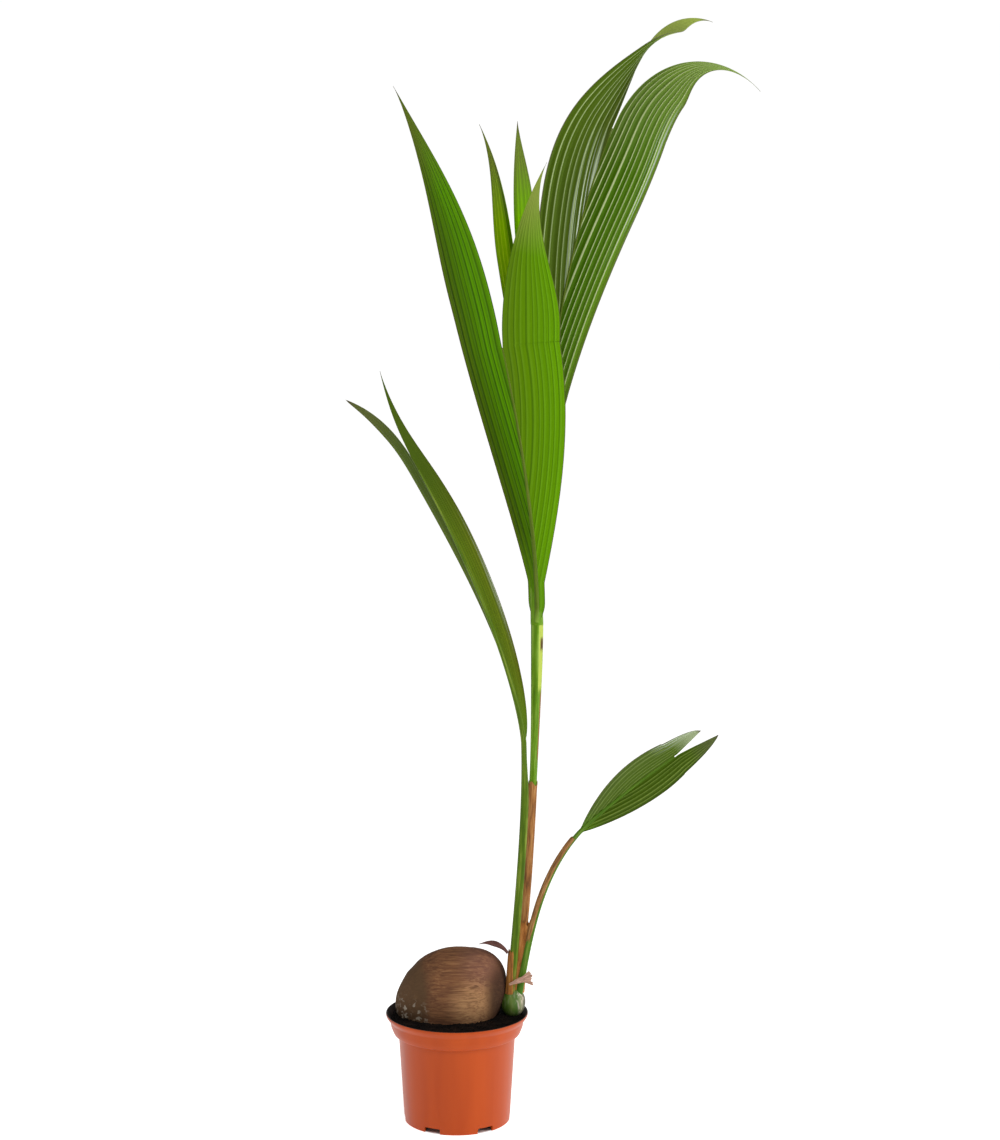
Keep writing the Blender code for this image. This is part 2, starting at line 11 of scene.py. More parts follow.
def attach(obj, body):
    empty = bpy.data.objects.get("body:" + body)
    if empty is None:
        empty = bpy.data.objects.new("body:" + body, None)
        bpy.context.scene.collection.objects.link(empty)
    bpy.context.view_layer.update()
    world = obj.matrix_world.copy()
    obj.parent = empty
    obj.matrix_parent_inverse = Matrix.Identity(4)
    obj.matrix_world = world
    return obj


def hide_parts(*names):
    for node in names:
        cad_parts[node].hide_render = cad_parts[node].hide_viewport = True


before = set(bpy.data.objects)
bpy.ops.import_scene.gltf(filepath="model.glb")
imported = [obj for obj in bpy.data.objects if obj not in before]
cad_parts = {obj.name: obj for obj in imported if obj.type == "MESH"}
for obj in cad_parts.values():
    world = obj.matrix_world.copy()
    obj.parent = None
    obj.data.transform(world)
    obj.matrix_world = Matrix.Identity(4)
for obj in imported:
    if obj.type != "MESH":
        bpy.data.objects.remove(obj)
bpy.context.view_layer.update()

MM = 0.001
SIDES = {"left": -1.0, "right": 1.0}


# Camera, floor and light


def place_camera():
    bpy.ops.object.camera_add(location=(0.0576, -3.0, 1.06), rotation=(math.radians(83.93), 0.0, 0.0))
    camera = bpy.context.object
    camera.data.lens = 72.63
    camera.data.sensor_width = 36.0
    bpy.context.scene.camera = camera


def linear(value):
    """Linear colour of a six-figure hex value."""
    parts = [int(value[i:i + 2], 16) / 255.0 for i in (0, 2, 4)]
    return [c / 12.92 if c <= 0.04045 else ((c + 0.055) / 1.055) ** 2.4 for c in parts] + [1.0]


def add(finish, kind, links=None, stops=None, **settings):
    """Adds a node with its settings. A link's value is the socket to join or a plain value."""
    tree = finish.node_tree
    made = tree.nodes.new("ShaderNode" + kind)
    for key, value in settings.items():
        setattr(made, key, value)
    if stops:
        ramp = made.color_ramp
        while len(ramp.elements) < len(stops):
            ramp.elements.new(1.0)
        for element, (place, value) in zip(ramp.elements, stops):
            element.position = place
            element.color = linear(value) if isinstance(value, str) else (value, value, value, 1.0)
    for key, value in (links or {}).items():
        if isinstance(value, bpy.types.NodeSocket):
            tree.links.new(value, made.inputs[key])
        else:
            made.inputs[key].default_value = value
    return made


def new_finish(name, roughness, **plain):
    made = bpy.data.materials.new(name)
    made.use_nodes = True
    shader = made.node_tree.nodes["Principled BSDF"]
    shader.inputs["Roughness"].default_value = roughness
    for key, value in plain.items():
        shader.inputs[key.replace("_", " ")].default_value = value
    return made, shader


def join(finish, socket, shader, name):
    finish.node_tree.links.new(socket, shader.inputs[name])


def light(name, place, aim, size, power, tint="FFFFFF"):
    bpy.ops.object.light_add(type="AREA", location=place)
    lamp = bpy.context.object
    lamp.name = name
    lamp.data.shape = "RECTANGLE"
    lamp.data.size = size[0]
    lamp.data.size_y = size[1]
    lamp.data.energy = power
    lamp.data.color = linear(tint)[:3]
    lamp.rotation_euler = (Vector(aim) - Vector(place)).to_track_quat("-Z", "Y").to_euler()


def set_stage():
    bpy.context.scene.view_settings.view_transform = "Standard"
    bpy.ops.mesh.primitive_plane_add(size=60.0, location=(0.0, 20.0, 0.0))
    floor = bpy.context.object
    floor.name = "floor"
    paper, shader = new_finish("lit_white_table", 0.9, Specular_IOR_Level=0.1)
    shader.inputs["Base Color"].default_value = linear("F0F0F0")
    shader.inputs["Emission Color"].default_value = (1.0, 1.0, 1.0, 1.0)
    # Its own glow stops under the pot, where its shadow lies
    here = add(paper, "NewGeometry")
    reach = add(paper, "VectorMath", {0: here.outputs["Position"]}, operation="LENGTH")
    glow = add(paper, "MapRange", {0: reach.outputs["Value"], 1: 0.066, 2: 0.070, 3: 0.0, 4: 0.80})
    join(paper, glow.outputs[0], shader, "Emission Strength")
    floor.data.materials.append(paper)
    world = bpy.context.scene.world or bpy.data.worlds.new("studio")
    bpy.context.scene.world = world
    world.use_nodes = True
    # A white wall behind the plant in the dimmer studio
    sky = world.node_tree.nodes["Background"]
    way = add(world, "TexCoord")
    parts = add(world, "SeparateXYZ", {0: way.outputs["Generated"]})
    wall = add(world, "MapRange", {0: parts.outputs[1], 1: 0.86, 2: 0.93, 3: 0.26, 4: 1.02})
    world.node_tree.links.new(wall.outputs[0], sky.inputs["Strength"])
    sky.inputs["Color"].default_value = (1.0, 1.0, 1.0, 1.0)
    light("key_softbox", (0.5, -2.8, 3.0), (0.05, 0.0, 0.7), (1.6, 1.2), 54.0)
    light("right_softbox", (2.3, -0.7, 1.0), (0.05, 0.0, 0.7), (1.0, 2.4), 38.0)
    light("left_softbox", (-2.3, -0.6, 1.1), (0.05, 0.0, 0.7), (0.8, 2.4), 8.0)


# Shapes that the pieces share: the leaves' rule, as the solids have it

STEM = dict(foot=(0.0786, 0.0179, 0.172), length=0.4974, lean=(7.8, 0.3), bow=0.64, depth=(0.0, 0.5))
PETIOLE_A = dict(foot=(0.0698, 0.004, 0.168), length=0.3435, lean=(4.9, -1.8), bow=3.0, depth=(0.0, 0.0))
PETIOLE_E = dict(foot=(0.0826, 0.0072, 0.168), length=0.2402, lean=(10.0, 41.2), bow=2.16, depth=(-1.3, -2.1))
STEM_RADII = (5.0 * MM, 8.0 * MM)
PETIOLE_A_RADII = (4.0 * MM, 3.6 * MM)
PETIOLE_E_RADII = (4.4 * MM, 3.4 * MM)
FORK_RADIUS = 3.0 * MM
NOTCH_RADIUS = 0.9 * MM

# Each half: its free lobe, width and set of the blade as the solids have them, then the number of
# folds, their depth as a share of their spacing, and how far the blade bulges towards its face.
LEAVES = {
    "a": dict(
        rib=dict(length=0.391, lean=(-1.8, -28.3), bow=0.40, depth=(-3.0, -4.0)),
        left=dict(
            lobe=0.133, lean=-95.0, bend=(-0.11, 1.8), depth=2.0,
            width=0.050, widest=0.85, rise=2.2, fall=0.71, fold=72.0, twist=0.0, twist_from=0.6,
            pleats=7, crease=0.10, bulge=0.0,
        ),
        right=dict(
            lobe=0.138, lean=-11.8, bend=(-0.03, 1.1), depth=-10.0,
            width=0.036, widest=0.52, rise=0.5, fall=1.2, fold=52.0, twist=0.0, twist_from=0.6,
            pleats=7, crease=0.10, bulge=0.0,
        ),
    ),
    "b": dict(
        rib=dict(length=0.366, lean=(5.2, -12.1), bow=0.40, depth=(-3.0, -7.0)),
        left=dict(
            lobe=0.361, lean=-30.6, bend=(0.02, 0.83), depth=-12.0,
            width=0.072, widest=0.594, rise=0.99, fall=1.43, fold=42.0, twist=0.0, twist_from=0.6,
            pleats=8, crease=0.07, bulge=0.0, clasp=0.0145,
        ),
        right=dict(
            lobe=0.246, lean=42.5, bend=(-0.65, 1.75), depth=-5.0,
            width=0.080, widest=0.632, rise=1.23, fall=1.59, fold=18.0, twist=0.0, twist_from=0.6,
            pleats=10, crease=0.06, bulge=0.0, clasp=0.0115,
        ),
    ),
    "c": dict(
        rib=dict(length=0.670, lean=(0.0, 21.9), bow=1.55, depth=(5.0, 11.0)),
        left=dict(
            lobe=0.231, lean=144.5, bend=(0.36, 1.34), depth=14.0,
            width=0.081, widest=0.86, rise=2.45, fall=1.77, fold=-15.0, twist=-112.0, twist_from=0.62,
            pleats=8, crease=0.12, bulge=0.0,
        ),
        right=dict(
            lobe=0.257, lean=155.5, bend=(-0.12, 1.35), depth=8.0,
            width=0.085, widest=0.806, rise=2.26, fall=2.57, fold=-18.0, twist=-50.0, twist_from=0.6,
            pleats=10, crease=0.12, bulge=0.0,
        ),
    ),
    "d": dict(
        rib=dict(length=0.403, lean=(3.8, -8.8), bow=1.0, depth=(1.0, 3.0)),
        left=dict(
            lobe=0.258, lean=-52.0, bend=(0.34, 1.8), depth=4.0,
            width=0.030, widest=0.73, rise=1.4, fall=1.33, fold=38.0, twist=0.0, twist_from=0.6,
            pleats=5, crease=0.12, bulge=0.0,
        ),
        right=dict(
            lobe=0.255, lean=15.3, bend=(-0.16, 1.8), depth=5.0,
            width=0.033, widest=0.82, rise=1.4, fall=1.15, fold=38.0, twist=0.0, twist_from=0.6,
            pleats=5, crease=0.12, bulge=0.0,
        ),
    ),
    "e": dict(
        rib=dict(length=0.163, lean=(41.2, 53.5), bow=0.40, depth=(-6.0, -4.0)),
        left=dict(
            lobe=0.049, lean=44.2, bend=(-0.6, 0.35), depth=-2.0,
            width=0.037, widest=0.56, rise=0.93, fall=0.63, fold=-30.0, twist=0.0, twist_from=0.6,
            pleats=7, crease=0.14, bulge=0.002,
        ),
        right=dict(
            lobe=0.065, lean=62.4, bend=(-0.55, 0.47), depth=-8.0,
            width=0.030, widest=0.55, rise=0.75, fall=0.76, fold=-15.0, twist=0.0, twist_from=0.6,
            pleats=6, crease=0.14, bulge=0.002,
        ),
    ),
}
BLADE_SOLIDS = {
    "a": ("", "_lobe"), "b": ("", "_lobe"), "c": ("", "_lobe", "_tip"), "d": ("",), "e": ("",),
}
ROW = 4.0 * MM
BLADE_START = 0.006


def smooth(x):
    x = np.clip(x, 0.0, 1.0)
    return x * x * (3.0 - 2.0 * x)


def heading(lean, depth):
    a = np.radians(lean)
    b = np.radians(depth)
    return np.stack([np.sin(a) * np.cos(b), np.sin(b), np.cos(a) * np.cos(b)], axis=-1)


def course(foot, length, lean_at, depth_at, steps):
    """Points and headings of a curve whose lean and depth are functions of 0 to 1."""
    middle = (np.arange(steps) + 0.5) / steps
    moves = heading(lean_at(middle), depth_at(middle)) * (length / steps)
    points = np.vstack([np.asarray(foot), np.asarray(foot) + np.cumsum(moves, axis=0)])
    knots = np.arange(steps + 1) / steps
    return points, heading(lean_at(knots), depth_at(knots))


def bowed(ends, bow):
    return lambda s: ends[0] + (ends[1] - ends[0]) * s ** bow


def stalk_course(stalk, steps):
    lean_at = bowed(stalk["lean"], stalk["bow"])
    return course(stalk["foot"], stalk["length"], lean_at, bowed(stalk["depth"], 1.0), steps)


def rib_course(leaf, foot, steps):
    rib = leaf["rib"]
    return course(foot, rib["length"], bowed(rib["lean"], rib["bow"]), bowed(rib["depth"], 1.0), steps)


def read_along(values, share):
    """Values between the rows of an array, at shares 0 to 1 of its length."""
    place = np.clip(share, 0.0, 1.0) * (len(values) - 1)
    low = np.minimum(place.astype(int), len(values) - 2)
    rest = (place - low)[..., None]
    return values[low] * (1.0 - rest) + values[low + 1] * rest


def unit(vectors):
    return vectors / np.linalg.norm(vectors, axis=-1, keepdims=True)


def across(direction, turn):
    """Unit vectors across a heading: to its right at turn 0, turning away from -Y."""
    right = unit(np.cross((0.0, 1.0, 0.0), direction))
    away = np.cross(direction, right)
    turn = np.radians(turn)[..., None]
    return right * np.cos(turn) + away * np.sin(turn)


STEM_LINE = stalk_course(STEM, 96)
STEM_TOP = STEM_LINE[0][-1]
FEET = {
    "a": stalk_course(PETIOLE_A, 96)[0][-1],
    "e": stalk_course(PETIOLE_E, 96)[0][-1],
    "b": STEM_TOP + np.array((-0.8, -6.8, 2.0)) * MM,
    "c": STEM_TOP + np.array((3.4, 6.8, 2.0)) * MM,
    "d": STEM_TOP + np.array((0.2, 0.0, 2.0)) * MM,
}
FOOT_RADII = {"a": PETIOLE_A_RADII[1], "e": PETIOLE_E_RADII[1], "b": FORK_RADIUS, "c": FORK_RADIUS, "d": FORK_RADIUS}


# Making and finishing pieces


def start_piece(name, operator, **settings):
    """A primitive with nothing else selected."""
    bpy.ops.object.select_all(action="DESELECT")
    operator(**settings)
    made = bpy.context.object
    made.name = name
    made.data.name = name
    return made


def edit(piece):
    bpy.ops.object.select_all(action="DESELECT")
    piece.select_set(True)
    bpy.context.view_layer.objects.active = piece
    bpy.ops.object.mode_set(mode="EDIT")
    bpy.ops.mesh.select_all(action="SELECT")


def leave():
    bpy.ops.object.mode_set(mode="OBJECT")


def apply(piece, kind, **settings):
    step = piece.modifiers.new(kind.lower(), kind)
    for key, value in settings.items():
        setattr(step, key, value)
    bpy.context.view_layer.objects.active = piece
    bpy.ops.object.modifier_apply(modifier=step.name)


def hand_over(piece, finishes, nodes=(), angle=50.0):
    """Applies the piece's transform and smooth shading, gives it its finishes, hangs it on the root body and hides the
    solids it stands for.
    """
    bpy.ops.object.select_all(action="DESELECT")
    piece.select_set(True)
    bpy.context.view_layer.objects.active = piece
    bpy.ops.object.transform_apply(location=True, rotation=True, scale=True)
    bpy.ops.object.shade_smooth_by_angle(angle=math.radians(angle))
    piece.data.materials.clear()
    for finish in finishes:
        piece.data.materials.append(finish)
    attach(piece, "root")
    if nodes:
        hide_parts(*nodes)


def grid_piece(name, columns, rows, place, wrap=False):
    """A grid whose point at shares u across and v along goes to place(u, v)."""
    piece = start_piece(
        name, bpy.ops.mesh.primitive_grid_add, x_subdivisions=columns, y_subdivisions=rows, size=1.0
    )
    data = piece.data
    flat = np.empty(len(data.vertices) * 3, np.float32)
    data.vertices.foreach_get("co", flat)
    shares = flat.reshape(-1, 3).astype(float)[:, :2] + 0.5
    placed = place(np.clip(shares[:, 0], 0.0, 1.0), np.clip(shares[:, 1], 0.0, 1.0))
    data.vertices.foreach_set("co", placed.astype(np.float32).ravel())
    data.update()
    edit(piece)
    bpy.ops.mesh.remove_doubles(threshold=0.000005)
    if wrap:
        bpy.ops.mesh.select_all(action="SELECT")
        bpy.ops.mesh.fill_holes(sides=0)
        bpy.ops.mesh.select_all(action="SELECT")
        bpy.ops.mesh.normals_make_consistent(inside=False)
    leave()
    return piece


def scale_pattern(piece, count_across, length):
    """Turns the grid's own UV map into counts: folds or turns across, and length along."""
    layer = piece.data.uv_layers[0].data
    flat = np.empty(len(layer) * 2, np.float32)
    layer.foreach_get("uv", flat)
    flat = flat.reshape(-1, 2)
    flat[:, 0] = count_across(flat[:, 0])
    flat[:, 1] = flat[:, 1] * length
    layer.foreach_set("uv", flat.ravel())


# Leaf blades


def half_width(half, t):
    widest = half["widest"]
    growing = np.sin(math.pi / 2.0 * np.clip(t / widest, 0.0, 1.0)) ** half["rise"]
    dying = np.clip(np.cos(math.pi / 2.0 * np.clip((t - widest) / (1.0 - widest), 0.0, 1.0)), 0.0, 1.0)
    return half["width"] * np.where(t < widest, growing, dying ** half["fall"])


def half_course(leaf, side, foot, steps=96):
    """Points and headings up the rib and along the lobe's free edge, evenly spaced by length."""
    rib = leaf["rib"]
    half = leaf[side]
    total = rib["length"] + half["lobe"]
    split = rib["length"] / total
    rib_points, rib_headings = rib_course(leaf, foot, steps)
    start, end = half["bend"]
    turn = half["lean"] - rib["lean"][1]
    lobe_points, lobe_headings = course(
        rib_points[-1],
        half["lobe"],
        lambda s: rib["lean"][1] + turn * smooth((s - start) / (end - start)),
        lambda s: rib["depth"][1] + (half["depth"] - rib["depth"][1]) * s,
        steps,
    )

    def at(t):
        lower = np.clip(t / split, 0.0, 1.0)
        upper = np.clip((t - split) / (1.0 - split), 0.0, 1.0)
        on_rib = (t <= split)[..., None]
        point = np.where(on_rib, read_along(rib_points, lower), read_along(lobe_points, upper))
        direction = np.where(on_rib, read_along(rib_headings, lower), read_along(lobe_headings, upper))
        return point, unit(direction)

    return at, total, split


def folds_in(half, from_margin):
    """Number of folds between the margin and a place across the blade; no two are equally wide."""
    drift = 0.020 * np.sin(9.0 * from_margin + half["pleats"]) + 0.012 * np.sin(23.0 * from_margin + 2.0)
    return half["pleats"] * (from_margin + drift * np.sin(math.pi * from_margin))


def blade(key, side, finishes):
    """One half of a leaf, folded along veins that leave the rib and run beside the margin."""
    leaf = LEAVES[key]
    half = leaf[side]
    at, total, split = half_course(leaf, side, FEET[key])
    full = min(half["widest"], split)
    full_width = half_width(half, np.array(full))
    foot_radius = FOOT_RADII[key]
    hand = SIDES[side]

    def place(share, v):
        t = BLADE_START + (1.0 - BLADE_START) * v
        point, direction = at(t)
        twisted = smooth((t - half["twist_from"]) / (1.0 - half["twist_from"]))
        turn = half["fold"] + half["twist"] * twisted
        outward = across(direction, turn * hand) * hand
        face = np.cross(direction, outward) * -hand
        rib_radius = foot_radius + (NOTCH_RADIUS - foot_radius) * np.clip(t / split, 0.0, 1.0)
        inner = rib_radius * 0.75 * (1.0 - smooth((t - split) / (0.12 * (1.0 - split))))
        clasp = half.get("clasp", 0.0) * smooth((t + 0.03) / 0.07) * (1.0 - smooth((t - 0.09) / 0.08))
        width = np.maximum(np.maximum(half_width(half, t), clasp), inner + 0.25 * MM)
        from_margin = 1.0 - share
        grown = np.where(t < full, width / full_width, 1.0)
        grown = np.maximum(grown, 0.001)
        u = np.clip(1.0 - from_margin / grown, 0.0, 1.0)
        spacing = np.where(t < full, full_width, half_width(half, t)) / half["pleats"]
        depth = half["crease"] * spacing * smooth(u / 0.10) * (0.35 + 0.65 * smooth((1.0 - u) / 0.06))
        wave = np.cos(math.tau * folds_in(half, from_margin)) * depth
        bulge = half["bulge"] * np.sin(math.pi * u) * smooth(t / 0.3) * smooth((1.0 - t) / 0.3)
        spot = point + outward * (inner + (width - inner) * u)[..., None]
        return spot + face * (wave + bulge)[..., None]

    columns = half["pleats"] * 6
    rows = round(total / ROW)
    name = "leaf_" + key + "_" + side
    piece = grid_piece(name + "_blade", columns, rows, place)
    scale_pattern(piece, lambda u: folds_in(half, 1.0 - u), 1.0)
    if side == "left":
        piece.data.flip_normals()
    for finish in finishes:
        piece.data.materials.append(finish)
    apply(
        piece, "SOLIDIFY", thickness=0.45 * MM, offset=-1.0, use_even_offset=False,
        material_offset=1, material_offset_rim=2,
    )
    hand_over(piece, finishes, [name + ending for ending in BLADE_SOLIDS[key]], 80.0)


def leaf_skin(name, pleats, across, vein, shade, tip, foot, roughness, gloss, lines, sheen=None, turn=(0.80, 0.92)):
    """Waxy leaf skin: a satin cuticle over green, with pale veins on the folds and finer ones between.

    across: greens from the margin to the rib. lines: the veins' width and strength, and the strength
    of the fine streaks, which also sets the painted shade in the hollows of the folds. sheen: where a
    painted sheen shows as pale streaks, as two stretches across and along. turn: the
    stretch along the blade over which the tip's colour comes in.
    """
    finish, shader = new_finish(name, roughness, Specular_IOR_Level=gloss)
    width, strength, fine = lines
    place = add(finish, "UVMap")
    parts = add(finish, "SeparateXYZ", {0: place.outputs[0]})
    share = add(finish, "Math", {0: parts.outputs[0], 1: float(pleats)}, operation="DIVIDE")
    green = add(finish, "ValToRGB", {0: share.outputs[0]}, stops=across)

    # Broad streaks as wide as a fold, then fine ones about 1 mm apart, both drawn far along the blade
    def streaks(times, along, low, high, weight):
        stretch = add(finish, "Mapping", {0: place.outputs[0], 3: (times, along, 1.0)})
        cloud = add(finish, "TexNoise", {"Vector": stretch.outputs[0], "Scale": 1.0, "Detail": 3.0})
        return cloud, add(finish, "ValToRGB", {0: cloud.outputs[0]}, stops=[(low, 0.0), (high, weight)])

    broad, broad_share = streaks(1.7, 1.2, 0.42, 0.66, 0.55 * fine)
    thin, thin_share = streaks(7.0, 5.0, 0.40, 0.72, 0.75 * fine)
    toned = add(
        finish, "Mix", {0: broad_share.outputs[0], 6: green.outputs[0], 7: linear(shade)}, data_type="RGBA"
    )
    streaked = add(
        finish, "Mix", {0: thin_share.outputs[0], 6: toned.outputs[2], 7: linear(shade)}, data_type="RGBA"
    )
    # Painted shade: the hollows between the folds are darkened towards the shade colour
    fold = add(finish, "Math", {0: parts.outputs[0], 1: 0.5}, operation="PINGPONG")
    hollow = add(finish, "ValToRGB", {0: fold.outputs[0]}, stops=[(0.26, 0.0), (0.5, 0.5 * fine)])
    painted_valley_shade = add(
        finish, "Mix", {0: hollow.outputs[0], 6: streaked.outputs[2], 7: linear(shade)}, data_type="RGBA"
    )
    high = add(finish, "ValToRGB", {0: parts.outputs[1]}, stops=[(turn[0], 0.0), (turn[1], 0.8), (0.985, 0.9)])
    tipped = add(finish, "Mix", {0: high.outputs[0], 6: painted_valley_shade.outputs[2], 7: linear(tip)}, data_type="RGBA")
    line = add(finish, "ValToRGB", {0: fold.outputs[0]}, stops=[(width * 0.3, strength), (width, 0.0)])
    uneven = add(finish, "ValToRGB", {0: broad.outputs[0]}, stops=[(0.30, 1.0), (0.70, 0.35)])
    line_share = add(finish, "Math", {0: line.outputs[0], 1: uneven.outputs[0]}, operation="MULTIPLY")
    veined = add(
        finish, "Mix", {0: line_share.outputs[0], 6: tipped.outputs[2], 7: linear(vein)}, data_type="RGBA"
    )
    low = add(finish, "ValToRGB", {0: parts.outputs[1]}, stops=[(0.0, 0.9), (0.16, 0.0)])
    footed = add(finish, "Mix", {0: low.outputs[0], 6: veined.outputs[2], 7: linear(foot)}, data_type="RGBA")
    colour = footed
    # Painted sheen: pale streaks where the cuticle would catch the light, in a patch across and along the blade
    if sheen:
        sides, reach = sheen
        over = add(
            finish, "ValToRGB", {0: share.outputs[0]},
            stops=[(sides[0], 0.0), (sides[1], 1.0), (sides[2], 1.0), (sides[3], 0.0)],
        )
        along = add(
            finish, "ValToRGB", {0: parts.outputs[1]},
            stops=[(reach[0], 0.0), (reach[1], 1.0), (reach[2], 1.0), (reach[3], 0.0)],
        )
        patchy, patchy_share = streaks(3.4, 2.0, 0.50, 0.60, 0.80)
        both = add(finish, "Math", {0: over.outputs[0], 1: along.outputs[0]}, operation="MULTIPLY")
        painted_sheen_share = add(finish, "Math", {0: both.outputs[0], 1: patchy_share.outputs[0]}, operation="MULTIPLY")
        colour = add(
            finish, "Mix", {0: painted_sheen_share.outputs[0], 6: footed.outputs[2], 7: linear("B8C4B0")}, data_type="RGBA"
        )
    # The dried point and the thin dark margin
    point = add(finish, "ValToRGB", {0: parts.outputs[1]}, stops=[(0.975, 0.0), (0.995, 0.85)])
    rim = add(finish, "ValToRGB", {0: parts.outputs[0]}, stops=[(0.05, 0.8), (0.20, 0.0)])
    dry = add(finish, "Math", {0: point.outputs[0], 1: rim.outputs[0]}, operation="MAXIMUM")
    edged = add(finish, "Mix", {0: dry.outputs[0], 6: colour.outputs[2], 7: linear("463C2C")}, data_type="RGBA")
    join(finish, edged.outputs[2], shader, "Base Color")
    height = add(finish, "Math", {0: thin.outputs[0], 1: line.outputs[0]}, operation="ADD")
    bump = add(finish, "Bump", {"Height": height.outputs[0], "Strength": 0.3, "Distance": 0.25 * MM})
    join(finish, bump.outputs[0], shader, "Normal")
    return finish


def leaf_edge(name, value):
    """Dried leaf margin: a thin dark line that outlines the blade."""
    finish, shader = new_finish(name, 0.6)
    cloud = add(finish, "TexNoise", {"Scale": 60.0, "Detail": 2.0})
    ramp = add(finish, "ValToRGB", {0: cloud.outputs[0]}, stops=[(0.3, value), (0.8, "5A5A3A")])
    join(finish, ramp.outputs[0], shader, "Base Color")
    return finish


# Leaf greens from the margin to the rib on the side that faces -Y, with the veins, the shade colour
# of the dark streaks and of the painted shade in the hollows between them, the tip and the foot.
# The three last values are roughness, gloss and the lines. sheen, where given, places a painted sheen.
LEAF_LOOKS = {
    "a_left": dict(
        across=[(0.0, "5C701A"), (0.3, "4A5C0C"), (1.0, "40520A")], vein="74863A", shade="2C3E04",
        tip="4C5220", foot="4E6E14", roughness=0.46, gloss=0.05, lines=(0.12, 0.35, 0.8),
    ),
    "a_right": dict(
        across=[(0.0, "585C0C"), (0.35, "5A6A0A"), (0.8, "52680A"), (1.0, "667A1A")], vein="3A4A06",
        shade="384A06", tip="3A4E0A", foot="4E6E14", roughness=0.46, gloss=0.04, lines=(0.14, 0.6, 0.7),
        sheen=((0.0, 0.04, 0.12, 0.22), (0.20, 0.30, 0.50, 0.62)), turn=(0.48, 0.72),
    ),
    "b_left": dict(
        across=[(0.0, "50620E"), (0.22, "466604"), (0.36, "507C00"), (0.66, "569000"), (1.0, "5C9400")],
        vein="162E00", shade="305400", tip="5A6420", foot="5A8A0C", roughness=0.46, gloss=0.03,
        lines=(0.20, 1.0, 0.70),
    ),
    "b_right": dict(
        across=[(0.0, "5A8C00"), (0.35, "548000"), (0.75, "507202"), (1.0, "4A620C")],
        vein="264600", shade="406600", tip="7C883C", foot="4E7A0C", roughness=0.46, gloss=0.03,
        lines=(0.15, 0.80, 0.50),
    ),
    "c_left": dict(
        across=[(0.0, "425806"), (0.25, "42580A"), (0.7, "42560E"), (1.0, "3E4A12")],
        vein="A6B680", shade="304406", tip="A2B452", foot="446A06", roughness=0.44, gloss=0.05,
        lines=(0.12, 0.85, 0.45), sheen=((0.50, 0.66, 0.90, 1.0), (0.40, 0.50, 0.62, 0.74)),
        turn=(0.870, 0.895),
    ),
    "c_right": dict(
        across=[(0.0, "7C9E30"), (0.10, "5C8418"), (0.5, "446C02"), (1.0, "40580C")],
        vein="D4DEA8", shade="345402", tip="7A9640", foot="446C02", roughness=0.44, gloss=0.05,
        lines=(0.13, 0.95, 0.50), sheen=((0.0, 0.03, 0.12, 0.20), (0.50, 0.60, 0.72, 0.82)),
        turn=(0.66, 0.86),
    ),
    "d_left": dict(
        across=[(0.0, "789E10"), (0.55, "84AE00"), (0.72, "6A9800"), (0.82, "345A00"), (1.0, "345A00")],
        vein="A8C42C", shade="567C00", tip="5A5E2E", foot="6C9410", roughness=0.50, gloss=0.0,
        lines=(0.16, 0.5, 0.55),
    ),
    "d_right": dict(
        across=[(0.0, "649C00"), (0.8, "669E00"), (0.92, "446A00"), (1.0, "2E460C")],
        vein="7EB000", shade="4E8000", tip="5A5E2E", foot="6C9410", roughness=0.50, gloss=0.0,
        lines=(0.16, 0.4, 0.55),
    ),
    # Leaf e's left half: its pale grey tip colour is a painted sheen, as is its sheen patch near the tip
    "e_left": dict(
        across=[(0.0, "52642A"), (0.5, "4C6216"), (1.0, "445C0A")], vein="94A464", shade="344A08",
        tip="8E9A78", foot="4E7A0C", roughness=0.42, gloss=0.10, lines=(0.12, 0.50, 0.6),
        sheen=((0.0, 0.05, 0.25, 0.40), (0.66, 0.78, 0.95, 1.0)),
    ),
    "e_right": dict(
        across=[(0.0, "3E540C"), (0.5, "48600C"), (1.0, "46600A")], vein="94A654", shade="324806",
        tip="4C5430", foot="5A8010", roughness=0.42, gloss=0.08, lines=(0.12, 0.65, 0.6),
    ),
}
# The other side of each leaf, where the wax is thinner or thicker
BACK_LOOKS = {
    "a": dict(
        across=[(0.0, "4A6C1A"), (1.0, "587A2A")], vein="8CA858", shade="36560E", tip="66663C",
        foot="6C8C2C", roughness=0.5, gloss=0.15, lines=(0.14, 0.4, 0.6),
    ),
    "b": dict(
        across=[(0.0, "3E5C10"), (1.0, "4A6A1C")], vein="A6B886", shade="2C460A", tip="747A56",
        foot="64882A", roughness=0.36, gloss=0.35, lines=(0.14, 0.6, 0.6),
    ),
    # Leaf c's underside: a pale green, made lighter still as painted light, since its arching tip gets little lamp
    # light
    "c": dict(
        across=[(0.0, "98AC48"), (0.5, "A0B44C"), (1.0, "8CA03E")], vein="B8C478", shade="86983A",
        tip="98AC50", foot="64882A", roughness=0.5, gloss=0.15, lines=(0.16, 0.4, 0.5),
    ),
    "d": dict(
        across=[(0.0, "4E7410"), (1.0, "5E8418")], vein="90A850", shade="3C5C0A", tip="5A5E2E",
        foot="6C9020", roughness=0.40, gloss=0.2, lines=(0.16, 0.4, 0.6),
    ),
    "e": dict(
        across=[(0.0, "5C7C30"), (1.0, "6A8C3C")], vein="98AC74", shade="4A6A22", tip="6A6C44",
        foot="4E7218", roughness=0.5, gloss=0.15, lines=(0.16, 0.4, 0.6),
    ),
}


def make_leaves():
    edge = leaf_edge("dry_leaf_margin", "33381A")
    for key in LEAVES:
        for side in SIDES:
            pleats = LEAVES[key][side]["pleats"]
            name = "leaf_cuticle_" + key + "_" + side
            front = leaf_skin(name, pleats, **LEAF_LOOKS[key + "_" + side])
            back = leaf_skin(name + "_back", pleats, **BACK_LOOKS[key])
            blade(key, side, (front, back, edge))


# Stalks


